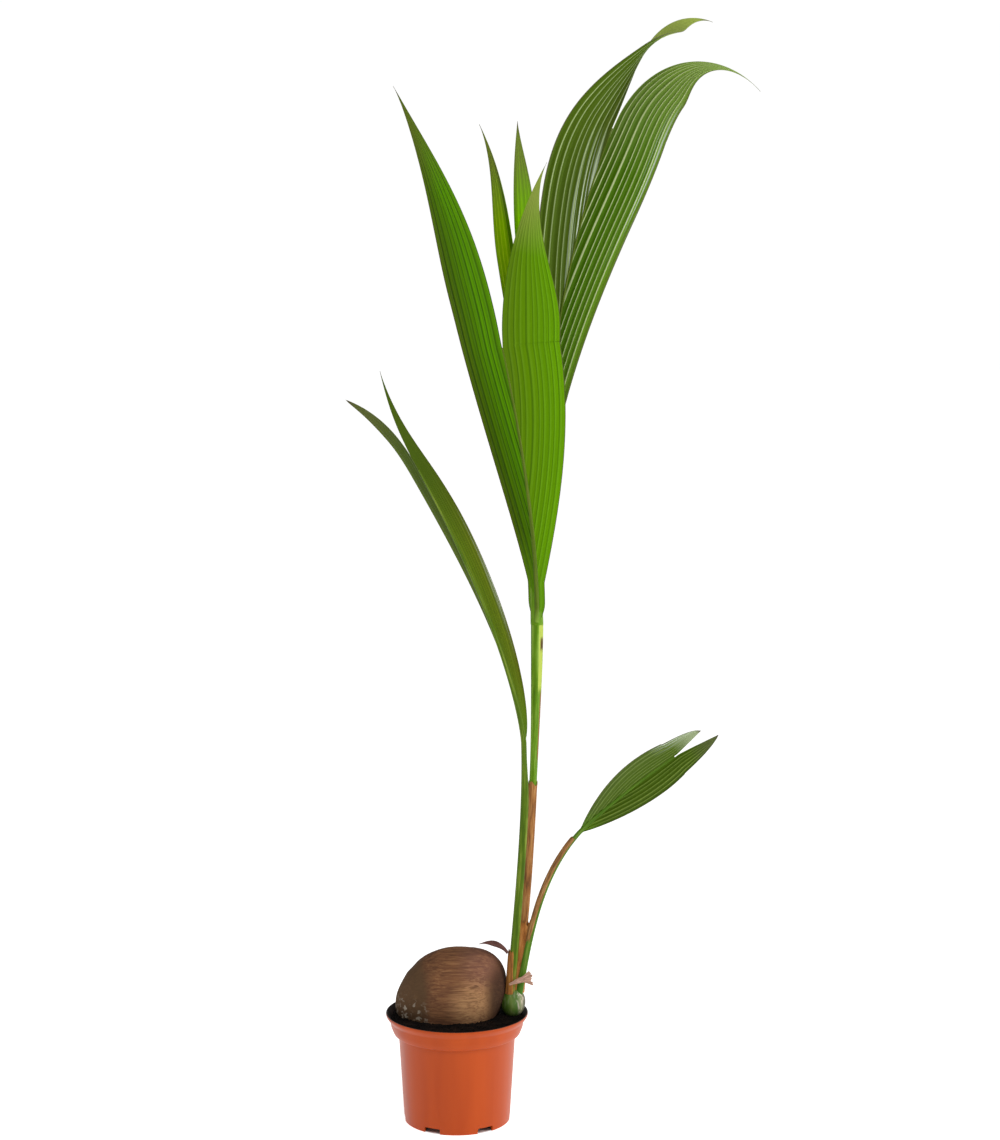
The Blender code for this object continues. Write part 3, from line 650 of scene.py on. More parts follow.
def limb(name, line, radius, rows, sides, finishes, nodes):
    """A stalk along a line of points and headings, its radius a rule of the angle and the share."""
    points, headings = line
    spans = np.linalg.norm(np.diff(points, axis=0), axis=1)
    length = float(spans.sum())

    def place(u, v):
        point = read_along(points, v)
        direction = unit(read_along(headings, v))
        angle = u * math.tau
        outward = across(direction, np.degrees(angle))
        return point + outward * radius(angle, v)[..., None]

    piece = grid_piece(name, sides, rows, place, wrap=True)
    scale_pattern(piece, lambda u: u, length)
    hand_over(piece, finishes, nodes, 70.0)
    return piece


def ribbed(angle, share, count, depth, seed):
    """Long shallow ridges that wander slowly round a stalk."""
    drift = 0.5 * np.sin(share * 7.0 + seed) + 0.3 * np.sin(share * 17.0 + 2.0 * seed)
    return 1.0 + depth * np.cos(count * angle + drift + seed) + 0.5 * depth * np.cos(2.3 * count * angle + seed)


def channelled(angle, middle, spread, depth):
    """A groove down one side of a stalk."""
    off = np.angle(np.exp(1j * (angle - middle)))
    return 1.0 - depth * np.exp(-(off / spread) ** 2)


def stalk_skin(name, dark, body, pale, foot, foot_to=0.05, roughness=0.42):
    """Living stalk skin: smooth and waxy, with fine long fibres that show through it."""
    finish, shader = new_finish(name, roughness, Specular_IOR_Level=0.10)
    place = add(finish, "UVMap")
    # Fibre bundles about 1 mm apart round the stalk, drawn long
    stretch = add(finish, "Mapping", {0: place.outputs[0], 3: (9.0, 14.0, 1.0)})
    fibre = add(finish, "TexNoise", {"Vector": stretch.outputs[0], "Scale": 1.0, "Detail": 4.0, "Roughness": 0.6})
    ramp = add(finish, "ValToRGB", {0: fibre.outputs[0]}, stops=[(0.3, dark), (0.5, body), (0.72, pale)])
    parts = add(finish, "SeparateXYZ", {0: place.outputs[0]})
    low = add(finish, "ValToRGB", {0: parts.outputs[1]}, stops=[(0.0, 1.0), (foot_to, 0.0)])
    footed = add(finish, "Mix", {0: low.outputs[0], 6: ramp.outputs[0], 7: linear(foot)}, data_type="RGBA")
    join(finish, footed.outputs[2], shader, "Base Color")
    bump = add(finish, "Bump", {"Height": fibre.outputs[0], "Strength": 0.4, "Distance": 0.3 * MM})
    join(finish, bump.outputs[0], shader, "Normal")
    return finish


def stem_skin():
    """Stem skin with the pale inner side of an old sheath down its right side and its brown edge below."""
    finish = stalk_skin("stem_skin", "446A0A", "5E8614", "86A444", "7A6A2A", 0.03)
    shader = finish.node_tree.nodes["Principled BSDF"]
    skin = shader.inputs["Base Color"].links[0].from_socket
    place = add(finish, "UVMap")
    parts = add(finish, "SeparateXYZ", {0: place.outputs[0]})
    colour = skin
    # Stretches round the stem in turns and up it in metres
    for value, sides, reach in (
        ("A4B44A", (0.800, 0.815, 0.99, 1.0), (0.405, 0.412, 0.505, 0.515)),
        ("8A5A38", (0.900, 0.915, 0.99, 1.0), (0.310, 0.320, 0.400, 0.410)),
        ("54421C", (0.850, 0.860, 0.875, 0.885), (0.460, 0.464, 0.476, 0.479)),
    ):
        over = add(
            finish, "ValToRGB", {0: parts.outputs[0]},
            stops=[(sides[0], 0.0), (sides[1], 1.0), (sides[2], 1.0), (sides[3], 1.0)],
        )
        along = add(
            finish, "ValToRGB", {0: parts.outputs[1]},
            stops=[(reach[0], 0.0), (reach[1], 1.0), (reach[2], 1.0), (reach[3], 0.0)],
        )
        both = add(finish, "Math", {0: over.outputs[0], 1: along.outputs[0]}, operation="MULTIPLY")
        colour = add(finish, "Mix", {0: both.outputs[0], 6: colour, 7: linear(value)}, data_type="RGBA").outputs[2]
    join(finish, colour, shader, "Base Color")
    return finish


def dry_fibre(name, dark, body, pale, roughness=0.8, across_scale=14.0, along_scale=30.0):
    """Dry fibrous sheath: matte, torn into long threads, lighter where it is worn thin."""
    finish, shader = new_finish(name, roughness, Specular_IOR_Level=0.15)
    place = add(finish, "UVMap")
    stretch = add(finish, "Mapping", {0: place.outputs[0], 3: (across_scale, along_scale, 1.0)})
    fibre = add(finish, "TexNoise", {"Vector": stretch.outputs[0], "Scale": 1.0, "Detail": 5.0, "Roughness": 0.65})
    ramp = add(finish, "ValToRGB", {0: fibre.outputs[0]}, stops=[(0.32, dark), (0.5, body), (0.70, pale)])
    join(finish, ramp.outputs[0], shader, "Base Color")
    bump = add(finish, "Bump", {"Height": fibre.outputs[0], "Strength": 0.6, "Distance": 0.5 * MM})
    join(finish, bump.outputs[0], shader, "Normal")
    return finish


def tapered(ends, v):
    return ends[0] + (ends[1] - ends[0]) * v


def make_stalks():
    green = stem_skin()
    petiole = stalk_skin("petiole_skin", "38500A", "4C660E", "7C8A32", "7A6A2A", 0.05)
    dark_petiole = stalk_skin("petiole_e_skin", "3A5A10", "4A6C16", "748C3A", "3A6A1A", 0.02)
    rib_skin = stalk_skin("rib_skin", "3E4E0C", "4E6212", "626C24", "6C8C2C", 0.02)
    sheath = dry_fibre("dry_leaf_sheath", "5E3E26", "9C6838", "B88A56")
    lining = dry_fibre("dry_sheath_edge", "4E3420", "8A6036", "B08A5A")

    def stem_radius(angle, v):
        swell = tapered(STEM_RADII, smooth((v - 0.58) / 0.42))
        return swell * ribbed(angle, v, 5, 0.05, 0.7)

    limb("stem_skin_mesh", STEM_LINE, stem_radius, 160, 40, [green], ["stem"])

    def whole(stalk, leaf, foot):
        lower = stalk_course(stalk, 48)
        upper = rib_course(leaf, foot, 48)
        return np.vstack([lower[0], upper[0][1:]]), np.vstack([lower[1], upper[1][1:]])

    def petiole_a_radius(angle, v):
        size = np.where(
            v < 0.5, tapered(PETIOLE_A_RADII, v * 2.0), tapered((PETIOLE_A_RADII[1], NOTCH_RADIUS), v * 2.0 - 1.0)
        )
        # The petiole is broad on the side where it clasps the stem
        broad = 0.85 * np.maximum(np.cos(angle), 0.0) ** 1.5 * (1.0 - smooth((v - 0.38) / 0.10))
        return size * ribbed(angle, v, 4, 0.04, 1.9) * (1.0 + broad)

    def petiole_e_radius(angle, v):
        size = np.where(
            v < 0.5, tapered(PETIOLE_E_RADII, v * 2.0), tapered((PETIOLE_E_RADII[1], NOTCH_RADIUS), v * 2.0 - 1.0)
        )
        flare = 1.0 + 0.22 * (1.0 - smooth(v / 0.32))
        return size * flare * ribbed(angle, v, 4, 0.04, 3.1) * channelled(angle, math.pi * 0.9, 0.6, 0.18)

    line_a = whole(PETIOLE_A, LEAVES["a"], FEET["a"])
    limb("petiole_a_mesh", line_a, petiole_a_radius, 190, 24, [petiole], ["petiole_a"])
    line_e = whole(PETIOLE_E, LEAVES["e"], FEET["e"])
    limb("petiole_e_mesh", line_e, petiole_e_radius, 110, 24, [dark_petiole], ["petiole_e"])
    for key in ("b", "c", "d"):
        line = rib_course(LEAVES[key], FEET[key], 96)

        def rib_radius(angle, v):
            return tapered((FORK_RADIUS, NOTCH_RADIUS), v) * ribbed(angle, v, 3, 0.05, 0.4)

        limb("rib_" + key + "_mesh", line, rib_radius, 110, 16, [rib_skin], ["rib_" + key])

    make_sheath(sheath)
    make_lining(lining)
    clasping = stalk_skin("clasping_leaf_base", "446A0A", "5E8614", "86A444", "5E8614", 0.01)
    wrap_piece(
        "fork_sheath", STEM_TOP - np.array((0.0, 0.0, 2.0)) * MM, STEM_TOP + np.array((-1.6, -0.5, 50.0)) * MM,
        ((8.1, 7.4), (8.1, 5.0)), clasping, 0.10,
    )


def make_sheath(finish):
    """The brown sheath round the lower stem: it ends in a point below and a torn ring above."""
    points, headings = STEM_LINE
    length = STEM["length"]

    def place(u, v):
        angle = u * math.tau
        facing = 0.5 + 0.5 * np.cos(angle - math.radians(250.0))
        first = 0.135 + 0.055 * (1.0 - facing)
        last = 0.568 + 0.006 * np.sin(3.0 * angle + 1.0)
        share = first + (last - first) * v
        point = read_along(points, share)
        direction = unit(read_along(headings, share))
        size = 6.7 * MM + (6.0 - 6.7) * MM * v
        size = size * ribbed(angle, v, 9, 0.03, 2.2) * (1.0 + 0.06 * smooth((v - 0.96) / 0.04))
        return point + across(direction, np.degrees(angle)) * size[..., None]

    piece = grid_piece("stem_sheath_mesh", 64, 120, place)
    scale_pattern(piece, lambda u: u, length * 0.44)
    apply(piece, "SOLIDIFY", thickness=0.5 * MM, offset=-1.0)
    hand_over(piece, [finish], ["stem_sheath"], 60.0)


def make_lining(finish):
    """The dry sheath edge that lies along the upper left side of leaf e's petiole."""
    points, headings = stalk_course(PETIOLE_E, 96)

    def place(u, v):
        share = 0.30 + 0.655 * v
        point = read_along(points, share)
        direction = unit(read_along(headings, share))
        angle = math.radians(88.0) + u * math.radians(196.0)
        ends = np.clip(np.sin(math.pi * v), 0.0, 1.0) ** 0.3
        size = 4.0 * MM + 1.6 * MM * ends * np.sin(math.pi * u) ** 0.5
        size = size * (1.0 + 0.03 * np.cos(11.0 * angle + 9.0 * v))
        return point + across(direction, np.degrees(angle)) * size[..., None]

    piece = grid_piece("petiole_e_lining_mesh", 28, 80, place)
    scale_pattern(piece, lambda u: 0.5 * u, 0.157)
    apply(piece, "SOLIDIFY", thickness=0.6 * MM, offset=-1.0)
    hand_over(piece, [finish], ["petiole_e_sheath"], 60.0)


# Pot


def turned_shell(name, profile, sides):
    """Rings extruded one from the last, as on a lathe, and closed at both ends."""
    radius, height = profile[0]
    piece = start_piece(
        name, bpy.ops.mesh.primitive_circle_add,
        vertices=sides, radius=radius, fill_type="NGON", location=(0.0, 0.0, height),
    )
    bpy.ops.object.transform_apply(location=True, rotation=False, scale=False)
    edit(piece)
    for next_radius, next_height in profile[1:]:
        bpy.ops.mesh.extrude_region_move(TRANSFORM_OT_translate={"value": (0.0, 0.0, next_height - height)})
        bpy.ops.transform.resize(
            value=(next_radius / radius, next_radius / radius, 1.0), center_override=(0.0, 0.0, next_height)
        )
        radius, height = next_radius, next_height
    bpy.ops.mesh.select_all(action="SELECT")
    bpy.ops.mesh.normals_make_consistent(inside=False)
    leave()
    return piece


def pot_plastic():
    """Injection-moulded polypropylene: satin, slightly translucent orange, with flow streaks."""
    finish, shader = new_finish("moulded_polypropylene", 0.34, Specular_IOR_Level=0.2)
    place = add(finish, "TexCoord")
    # Flow streaks run up the wall from the gate in the base, about 15 mm apart
    stretch = add(finish, "Mapping", {0: place.outputs["Object"], 3: (38.0, 38.0, 3.0)})
    flow = add(finish, "TexNoise", {"Vector": stretch.outputs[0], "Scale": 1.0, "Detail": 2.0})
    ramp = add(finish, "ValToRGB", {0: flow.outputs[0]}, stops=[(0.3, "A23C04"), (0.7, "AE4408")])
    grain = add(finish, "TexNoise", {"Vector": place.outputs["Object"], "Scale": 900.0, "Detail": 2.0})
    join(finish, ramp.outputs[0], shader, "Base Color")
    rough = add(finish, "ValToRGB", {0: flow.outputs[0]}, stops=[(0.2, 0.32), (0.8, 0.44)])
    join(finish, rough.outputs[0], shader, "Roughness")
    bump = add(finish, "Bump", {"Height": grain.outputs[0], "Strength": 0.15, "Distance": 0.1 * MM})
    join(finish, bump.outputs[0], shader, "Normal")
    return finish


def pot_inside_and_under_shade():
    """The pot's inner face: the same plastic in black, dulled by damp compost. The same black is painted shade on the
    underside between the feet.
    """
    finish, shader = new_finish("black_inner_plastic_and_under_shade", 0.55)
    place = add(finish, "TexCoord")
    dust = add(finish, "TexNoise", {"Vector": place.outputs["Object"], "Scale": 90.0, "Detail": 4.0})
    ramp = add(finish, "ValToRGB", {0: dust.outputs[0]}, stops=[(0.35, "17110F"), (0.75, "33241D")])
    join(finish, ramp.outputs[0], shader, "Base Color")
    return finish


POT_OUTSIDE = [
    (47.0, 0.0), (48.9, 7.6), (66.1, 7.6), (68.0, 0.0), (69.6, 0.0), (70.5, 0.7), (70.9, 4.0),
    (77.9, 116.0), (78.3, 117.0), (79.4, 117.8), (83.3, 119.0), (84.2, 119.5), (84.8, 120.4),
    (86.2, 123.6), (88.1, 128.4), (89.4, 135.4), (90.0, 137.0), (91.6, 138.8), (94.0, 142.2),
    (94.8, 144.0), (95.0, 145.6), (94.8, 146.6), (94.0, 147.0),
]
POT_INSIDE = [
    (93.4, 146.6), (92.9, 145.4), (88.2, 138.4), (87.7, 137.0), (86.4, 129.4), (82.7, 121.0),
    (76.4, 118.4), (69.6, 10.0), (47.4, 10.0), (45.4, 2.4),
]
POT_SIDES = 120


def make_pot():
    profile = [(r * MM, z * MM) for r, z in POT_OUTSIDE + POT_INSIDE]
    pot = turned_shell("nursery_pot", profile, POT_SIDES)
    cutter = start_piece("notch_cutter", bpy.ops.mesh.primitive_cube_add, size=1.0)
    bpy.ops.transform.resize(value=(23.0 * MM, 14.0 * MM, 15.2 * MM))
    bpy.ops.object.transform_apply(location=False, rotation=False, scale=True)
    apply(cutter, "BEVEL", width=1.6 * MM, segments=3)
    cutters = [cutter]
    for i in range(5):
        cutters.append(cutter.copy())
        cutters[-1].data = cutter.data.copy()
        bpy.context.collection.objects.link(cutters[-1])
    for i, each in enumerate(cutters):
        turn = math.tau * (i + 0.5) / 6.0 + math.radians(3.0)
        each.location = (69.0 * MM * math.sin(turn), -69.0 * MM * math.cos(turn), 0.0)
        each.rotation_euler = (0.0, 0.0, turn)
    drill = start_piece(
        "drain_cutter", bpy.ops.mesh.primitive_cylinder_add, vertices=24, radius=4.0 * MM, depth=9.0 * MM
    )
    drills = [drill]
    for i in range(5):
        drills.append(drill.copy())
        drills[-1].data = drill.data.copy()
        bpy.context.collection.objects.link(drills[-1])
    for i, each in enumerate(drills):
        turn = math.tau * i / 6.0
        each.location = (57.5 * MM * math.sin(turn), -57.5 * MM * math.cos(turn), 9.0 * MM)
    for each in cutters + drills:
        apply(pot, "BOOLEAN", object=each, operation="DIFFERENCE", solver="EXACT")
        bpy.data.objects.remove(each, do_unlink=True)
    finishes = [pot_plastic(), pot_inside_and_under_shade()]
    hand_over(pot, finishes, ["pot"], 28.0)
    for face in pot.data.polygons:
        middle = face.center
        radius = math.hypot(middle.x, middle.y)
        inward = face.normal.x * middle.x + face.normal.y * middle.y < 0.0
        inside = middle.z > 9.5 * MM and inward
        lip = middle.z > 120.0 * MM and face.normal.z > 0.3
        # Painted shade: the underside and the channel between the feet take the black finish
        under = radius < 67.9 * MM and middle.z < 7.8 * MM
        face.material_index = 1 if inside or lip or under else 0


# Compost


def compost_finish():
    """Moist peat compost: near black, crumbly and matte, with browner fibres."""
    finish, shader = new_finish("peat_compost", 0.95, Specular_IOR_Level=0.1)
    place = add(finish, "TexCoord")
    crumb = add(finish, "TexNoise", {"Vector": place.outputs["Object"], "Scale": 420.0, "Detail": 5.0})
    patch = add(finish, "TexNoise", {"Vector": place.outputs["Object"], "Scale": 60.0, "Detail": 3.0})
    tone = add(finish, "Math", {0: crumb.outputs[0], 1: patch.outputs[0]}, operation="MULTIPLY")
    ramp = add(
        finish, "ValToRGB", {0: tone.outputs[0]},
        stops=[(0.18, "080504"), (0.28, "120B08"), (0.38, "21160F"), (0.52, "3A291D")],
    )
    join(finish, ramp.outputs[0], shader, "Base Color")
    bump = add(finish, "Bump", {"Height": crumb.outputs[0], "Strength": 0.8, "Distance": 1.0 * MM})
    join(finish, bump.outputs[0], shader, "Normal")
    return finish


def soil_height(x, y):
    radius = math.hypot(x, y) / (87.0 * MM)
    level = 138.8 * MM + 2.0 * MM * min(radius, 1.0) ** 2
    rough = noise.fractal(Vector((x * 90.0, y * 90.0, 0.3)), 0.9, 2.0, 4)
    fine = noise.noise(Vector((x * 420.0, y * 420.0, 3.1)))
    return level + 1.1 * MM * rough + 0.5 * MM * fine


def make_compost(finish):
    def place(u, v):
        x = u * 2.0 - 1.0
        y = v * 2.0 - 1.0
        radius = np.maximum(np.abs(x), np.abs(y)) * 87.5 * MM
        angle = np.arctan2(y, x)
        px = radius * np.cos(angle)
        py = radius * np.sin(angle)
        pz = np.array([soil_height(a, b) for a, b in zip(px, py)])
        return np.stack([px, py, pz], axis=-1)

    soil = grid_piece("compost_bed", 110, 110, place)
    edit(soil)
    bpy.ops.mesh.select_all(action="DESELECT")
    bpy.ops.mesh.select_mode(type="EDGE")
    bpy.ops.mesh.select_non_manifold()
    for next_radius, next_height, last_radius in ((82.0, 121.4, 87.5), (76.0, 118.0, 82.0), (69.2, 10.4, 76.0)):
        bpy.ops.mesh.extrude_region_move(TRANSFORM_OT_translate={"value": (0.0, 0.0, 0.0)})
        share = next_radius / last_radius
        bpy.ops.transform.resize(value=(share, share, 0.0), center_override=(0.0, 0.0, next_height * MM))
    bpy.ops.mesh.edge_face_add()
    bpy.ops.mesh.select_mode(type="VERT")
    bpy.ops.mesh.select_all(action="SELECT")
    bpy.ops.mesh.normals_make_consistent(inside=False)
    leave()
    hand_over(soil, [finish], ["soil"], 60.0)


def scatter(name, pattern, places, finish):
    """Copies of one small shape joined in one mesh. A place is a spot, a turn and a stretch."""
    shape = np.array([v.co for v in pattern.data.vertices])
    faces = np.array([list(p.vertices) for p in pattern.data.polygons])
    spots = []
    corners = []
    for i, (spot, turn, stretch) in enumerate(places):
        matrix = np.array(turn.to_matrix())
        spots.append((shape * stretch) @ matrix.T + spot)
        corners.append(faces + i * len(shape))
    data = bpy.data.meshes.new(name)
    data.from_pydata(np.vstack(spots).tolist(), [], np.vstack(corners).tolist())
    piece = bpy.data.objects.new(name, data)
    bpy.context.collection.objects.link(piece)
    bpy.data.objects.remove(pattern, do_unlink=True)
    hand_over(piece, [finish], (), 30.0)
    return piece


def make_crumbs(finish):
    """Crumbs of compost, 0.8 to 4 mm, loose on its surface."""
    dice = random.Random(11)
    crumb = start_piece("crumb", bpy.ops.mesh.primitive_ico_sphere_add, subdivisions=1, radius=1.0)
    for vertex in crumb.data.vertices:
        vertex.co *= dice.uniform(0.7, 1.15)
    places = []
    for i in range(1500):
        radius = 86.0 * MM * math.sqrt(dice.random())
        angle = dice.uniform(0.0, math.tau)
        x = radius * math.cos(angle)
        y = radius * math.sin(angle)
        size = MM * (0.35 + 1.1 * dice.random() ** 3)
        turn = Vector((dice.gauss(0, 1), dice.gauss(0, 1), dice.gauss(0, 1))).to_track_quat("Z", "Y")
        stretch = np.array([dice.uniform(0.7, 1.4) for axis in range(3)]) * size
        places.append((np.array((x, y, soil_height(x, y) + 0.3 * size)), turn, stretch))
    scatter("compost_crumbs", crumb, places, finish)


# Husked nut


def husk_finish():
    """Old coconut husk: matte brown fibre, worn pale in front, grey with old skin low on the left."""
    finish, shader = new_finish("weathered_husk", 0.86, Specular_IOR_Level=0.12)
    place = add(finish, "TexCoord")
    spot = place.outputs["Object"]
    # Fibres 1 to 3 mm apart that run from end to end
    fibres = add(finish, "Mapping", {0: spot, 2: (0.0, math.radians(12.0), 0.0), 3: (30.0, 330.0, 380.0)})
    thread = add(finish, "TexNoise", {"Vector": fibres.outputs[0], "Scale": 1.0, "Detail": 5.0, "Roughness": 0.66, "Distortion": 0.7})
    broad = add(finish, "TexNoise", {"Vector": spot, "Scale": 26.0, "Detail": 4.0})
    base = add(
        finish, "ValToRGB", {0: thread.outputs[0]},
        stops=[(0.30, "543A28"), (0.45, "6A4630"), (0.58, "80583A"), (0.74, "946C4A")],
    )
    mottle = add(finish, "ValToRGB", {0: broad.outputs[0]}, stops=[(0.36, 0.45), (0.58, 0.0)])
    darker = add(
        finish, "Mix", {0: mottle.outputs[0], 6: base.outputs[0], 7: linear("4A3426")}, data_type="RGBA"
    )

    def patch(middle, stretch, near, far, weight):
        """1 near a spot of the surface and 0 far from it, torn at the edge by the fibres."""
        moved = add(finish, "VectorMath", {0: spot, 1: middle}, operation="SUBTRACT")
        scaled = add(finish, "VectorMath", {0: moved.outputs[0], 1: stretch}, operation="MULTIPLY")
        reach = add(finish, "VectorMath", {0: scaled.outputs[0]}, operation="LENGTH")
        torn = add(finish, "Math", {0: thread.outputs[0], 1: 0.020}, operation="MULTIPLY")
        edge = add(finish, "Math", {0: reach.outputs["Value"], 1: torn.outputs[0]}, operation="SUBTRACT")
        return add(finish, "ValToRGB", {0: edge.outputs[0]}, stops=[(near, weight), (far, 0.0)])

    # The worn patch right of the middle of the front, about 45 mm wide
    worn = patch((0.024, -0.030, 0.163), (1.0, 0.8, 1.0), 0.004, 0.030, 0.95)
    rubbed = add(finish, "ValToRGB", {0: thread.outputs[0]}, stops=[(0.36, 0.35), (0.58, 1.0)])
    worn_share = add(finish, "Math", {0: worn.outputs[0], 1: rubbed.outputs[0]}, operation="MULTIPLY")
    pale = add(
        finish, "Mix", {0: worn_share.outputs[0], 6: darker.outputs[2], 7: linear("AA8058")}, data_type="RGBA"
    )
    # The flat left side, greyer and without fibres to see
    left = patch((-0.076, 0.0, 0.165), (1.0, 0.5, 0.6), 0.026, 0.036, 0.85)
    dull = add(finish, "Mix", {0: left.outputs[0], 6: pale.outputs[2], 7: linear("54402C")}, data_type="RGBA")
    # Old grey skin in flecks low on the left, and a pink tinge at the top right
    low = patch((-0.066, -0.020, 0.146), (1.0, 0.7, 1.4), 0.004, 0.030, 1.0)
    fleck = add(finish, "TexNoise", {"Vector": spot, "Scale": 190.0, "Detail": 3.0})
    fleck_share = add(finish, "ValToRGB", {0: fleck.outputs[0]}, stops=[(0.54, 0.0), (0.62, 0.9)])
    flecked = add(finish, "Math", {0: low.outputs[0], 1: fleck_share.outputs[0]}, operation="MULTIPLY")
    grey = add(finish, "Mix", {0: flecked.outputs[0], 6: dull.outputs[2], 7: linear("A89C8C")}, data_type="RGBA")
    top = patch((0.036, 0.0, 0.216), (1.0, 0.4, 1.0), 0.004, 0.030, 0.3)
    pink = add(finish, "Mix", {0: top.outputs[0], 6: grey.outputs[2], 7: linear("8C6258")}, data_type="RGBA")
    # Shade and moss-dark fibre where the shoot leaves the nut
    near_shoot = patch((0.062, -0.005, 0.170), (1.0, 0.6, 0.55), 0.006, 0.020, 0.8)
    shaded = add(finish, "Mix", {0: near_shoot.outputs[0], 6: pink.outputs[2], 7: linear("2E1E16")}, data_type="RGBA")
    join(finish, shaded.outputs[2], shader, "Base Color")
    bump = add(finish, "Bump", {"Height": thread.outputs[0], "Strength": 0.7, "Distance": 0.8 * MM})
    join(finish, bump.outputs[0], shader, "Normal")
    return finish


HUSK_CENTRE = np.array((-9.5, 17.0, 162.5)) * MM
HUSK_RADII = np.array((76.5, 54.0, 64.0)) * MM
HUSK_TILT = -24.0
FULL_SIDE = np.array((0.78, 0.0, 0.626))
FLAT_SIDE = np.array((-0.88, 0.0, 0.475))


def make_husk(finish):
    husk = start_piece("coconut_husk", bpy.ops.mesh.primitive_uv_sphere_add, segments=160, ring_count=110, radius=1.0)
    bpy.ops.transform.rotate(value=math.pi / 2.0, orient_axis="Y", center_override=(0.0, 0.0, 0.0))
    bpy.ops.object.transform_apply(location=False, rotation=True, scale=False)
    for vertex in husk.data.vertices:
        x, y, z = vertex.co
        swell = 1.0 + 0.03 * math.cos(3.0 * (math.atan2(z, y) - math.pi / 2.0))
        # The ridge between the dull left side and the fibrous front
        ridge = 0.010 * math.exp(-((x + 0.42 + 0.15 * z) / 0.10) ** 2)
        thread = noise.fractal(Vector((x * 1.6, y * 14.0, z * 14.0)), 0.8, 2.1, 4)
        lump = noise.noise(Vector((x * 2.2, y * 2.2, z * 2.2 + 4.0)))
        grow = 0.990 + ridge + 0.006 * thread * math.sqrt(max(1.0 - x * x, 0.0)) + 0.010 * lump
        vertex.co = Vector((x * HUSK_RADII[0], y * HUSK_RADII[1] * swell, z * HUSK_RADII[2] * swell)) * grow
    edit(husk)
    bpy.ops.transform.rotate(value=math.radians(-HUSK_TILT), orient_axis="Y", center_override=(0.0, 0.0, 0.0))
    leave()
    # The nut is fuller at its upper right and flatter at its upper left than an egg
    for vertex in husk.data.vertices:
        toward = np.array(vertex.co.normalized())
        fuller = 0.105 * math.exp(-((1.0 - toward @ FULL_SIDE) / 0.10))
        flatter = 0.050 * math.exp(-((1.0 - toward @ FLAT_SIDE) / 0.09))
        vertex.co = Vector(HUSK_CENTRE) + vertex.co * (1.0 + fuller - flatter)
    hand_over(husk, [finish], ["husk"], 70.0)


# Foot of the shoot


def bulb_skin():
    """Swollen green shoot base: smooth and moist, with pale papery skin on the right."""
    finish, shader = new_finish("shoot_base_skin", 0.4, Specular_IOR_Level=0.25)
    place = add(finish, "TexCoord")
    parts = add(finish, "SeparateXYZ", {0: place.outputs["Object"]})
    green = add(
        finish, "MapRange", {0: parts.outputs[0], 1: 0.058, 2: 0.093, 3: 0.0, 4: 1.0},
    )
    ramp = add(
        finish, "ValToRGB", {0: green.outputs[0]},
        stops=[(0.0, "3C4A16"), (0.24, "46641C"), (0.42, "647A34"), (0.62, "4A6A2A"), (0.8, "8A8C66"), (0.94, "3A3420")],
    )
    stretch = add(finish, "Mapping", {0: place.outputs["Object"], 3: (320.0, 320.0, 60.0)})
    streak = add(finish, "TexNoise", {"Vector": stretch.outputs[0], "Scale": 1.0, "Detail": 4.0})
    papery = add(finish, "ValToRGB", {0: streak.outputs[0]}, stops=[(0.50, 0.0), (0.62, 0.8)])
    right = add(finish, "ValToRGB", {0: green.outputs[0]}, stops=[(0.56, 0.1), (0.72, 1.0), (0.88, 1.0), (0.92, 0.0)])
    pale = add(finish, "Math", {0: papery.outputs[0], 1: right.outputs[0]}, operation="MULTIPLY")
    skin = add(finish, "Mix", {0: pale.outputs[0], 6: ramp.outputs[0], 7: linear("D8C8B8")}, data_type="RGBA")
    join(finish, skin.outputs[2], shader, "Base Color")
    bump = add(finish, "Bump", {"Height": streak.outputs[0], "Strength": 0.3, "Distance": 0.3 * MM})
    join(finish, bump.outputs[0], shader, "Normal")
    return finish


def make_bulb(finish):
    bulb = start_piece("shoot_base_bulb", bpy.ops.mesh.primitive_uv_sphere_add, segments=64, ring_count=48, radius=1.0)
    for vertex in bulb.data.vertices:
        x, y, z = vertex.co
        grow = 1.0 + 0.015 * noise.noise(Vector((x * 2.0, y * 2.0, z)))
        pinch = 1.0 - (0.25 if x < 0.0 else 0.04) * max(z, 0.0) ** 2
        vertex.co = Vector((
            75.0 * MM + 16.8 * MM * x * grow * pinch,
            10.0 * MM + 15.8 * MM * y * grow * pinch,
            157.0 * MM + 21.0 * MM * z,
        ))
    hand_over(bulb, [finish], ["shoot_base"], 70.0)


def wrap_piece(name, foot, top, radii, finish, torn, sides=56, rows=60):
    """A dry sheath round a bundle of stalks, its section an oval, with a torn upper edge."""

    def place(u, v):
        angle = u * math.tau
        ragged = torn * (0.5 * np.sin(3.0 * angle + 0.6) + 0.3 * np.sin(8.0 * angle) + 0.2 * np.sin(17.0 * angle))
        share = v * (1.0 + ragged * smooth((v - 0.6) / 0.4))
        point = np.asarray(foot) + (np.asarray(top) - np.asarray(foot)) * share[:, None]
        ripple = 1.0 + 0.03 * np.sin(9.0 * angle + 3.0 * v) + 0.02 * np.sin(21.0 * angle)
        for axis, (first, last) in enumerate(radii):
            size = (first + (last - first) * share) * MM * ripple
            point[:, axis] += size * (np.cos(angle) if axis == 0 else np.sin(angle))
        return point

    piece = grid_piece(name, sides, rows, place)
    scale_pattern(piece, lambda u: u, float(np.linalg.norm(np.asarray(top) - np.asarray(foot))))
    apply(piece, "SOLIDIFY", thickness=0.4 * MM, offset=0.0)
    hand_over(piece, [finish], (), 60.0)


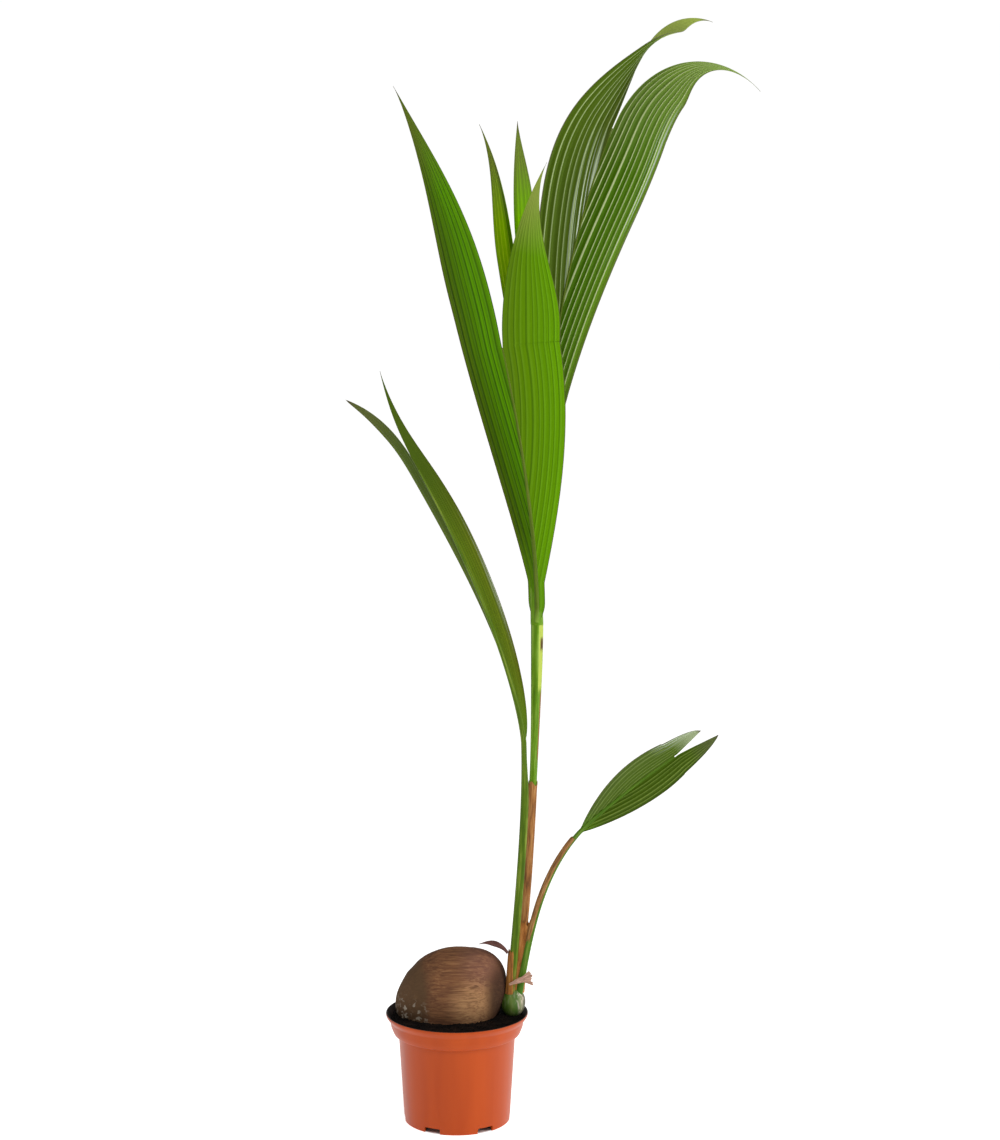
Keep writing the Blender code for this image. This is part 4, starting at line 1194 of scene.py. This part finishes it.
def make_neck():
    """Brown leaf sheaths that hold the stalks together above the bulb."""
    olive = dry_fibre("neck_sheath", "6A4420", "96602C", "A87C3A", 0.75, 10.0, 34.0)
    orange = dry_fibre("inner_neck_sheath", "8A5424", "B4743A", "C98E50", 0.75, 10.0, 34.0)
    wrap_piece(
        "outer_neck_sheath", (0.0712, 0.0055, 0.170), (0.0738, 0.0050, 0.226), ((6.8, 5.2), (6.6, 5.4)), olive, 0.10,
    )
    wrap_piece(
        "inner_neck_sheath", (0.0800, 0.0110, 0.170), (0.0896, 0.0135, 0.264), ((10.0, 8.6), (8.0, 4.5)), orange, 0.06,
    )


BRACTS = {
    "curled_bract": dict(
        foot=(0.0679, -0.0020, 0.2270), length=0.044, lean=(-29.0, -108.0), bow=0.9, depth=(-4.0, -8.0),
        width=3.8 * MM, shares=(0.5, 1.0, 0.1), tilt=20.0, torn=0.0, hollow=0.35,
    ),
    "paper_bract": dict(
        foot=(0.0700, -0.0035, 0.1845), length=0.034, lean=(62.0, 82.0), bow=1.0, depth=(-6.0, -2.0),
        width=10.5 * MM, shares=(0.15, 0.34, 1.0), tilt=-20.0, torn=0.14, hollow=0.12,
    ),
}


def bract_share(shares, v):
    """Width as a share of the greatest, smoothly from foot to middle to tip."""
    foot, middle, tip = shares
    lower = foot + (middle - foot) * smooth(v * 2.0)
    return np.where(v < 0.5, lower, middle + (tip - middle) * smooth(v * 2.0 - 1.0))


def make_bracts():
    looks = {
        "curled_bract": dry_fibre("brown_dry_bract", "3A2420", "54342E", "7A544A", 0.6, 8.0, 60.0),
        "paper_bract": dry_fibre("papery_bract", "8E6A5A", "B48C78", "D0AE9A", 0.8, 8.0, 60.0),
    }
    for name, size in BRACTS.items():
        lean_at = bowed(size["lean"], size["bow"])
        points, headings = course(size["foot"], size["length"], lean_at, bowed(size["depth"], 1.0), 32)

        def place(u, v, size=size, points=points, headings=headings):
            # A torn end is ragged from side to side
            ragged = 0.5 * np.sin(11.0 * u + 0.5) + 0.3 * np.sin(29.0 * u) + 0.2 * np.sin(53.0 * u)
            share = v * (1.0 - size["torn"] * (0.5 + 0.5 * ragged) * smooth((v - 0.5) / 0.5))
            point = read_along(points, share)
            direction = unit(read_along(headings, share))
            width = size["width"] * bract_share(size["shares"], share)
            outward = across(direction, np.full_like(v, size["tilt"]))
            hollow = np.cross(direction, outward) * (size["hollow"] * width * (2.0 * u - 1.0) ** 2)[..., None]
            ripple = np.cross(direction, outward) * (0.06 * width * np.sin(14.0 * u + 5.0 * v))[..., None]
            return point + outward * (width * (2.0 * u - 1.0))[..., None] + hollow + ripple

        piece = grid_piece(name + "_mesh", 28, 40, place)
        scale_pattern(piece, lambda u: u, size["length"])
        apply(piece, "SOLIDIFY", thickness=0.5 * MM, offset=0.0)
        hand_over(piece, [looks[name]], [name], 60.0)


place_camera()
set_stage()
make_leaves()
make_stalks()
make_pot()
peat = compost_finish()
make_compost(peat)
make_crumbs(peat)
make_husk(husk_finish())
make_bulb(bulb_skin())
make_neck()
make_bracts()
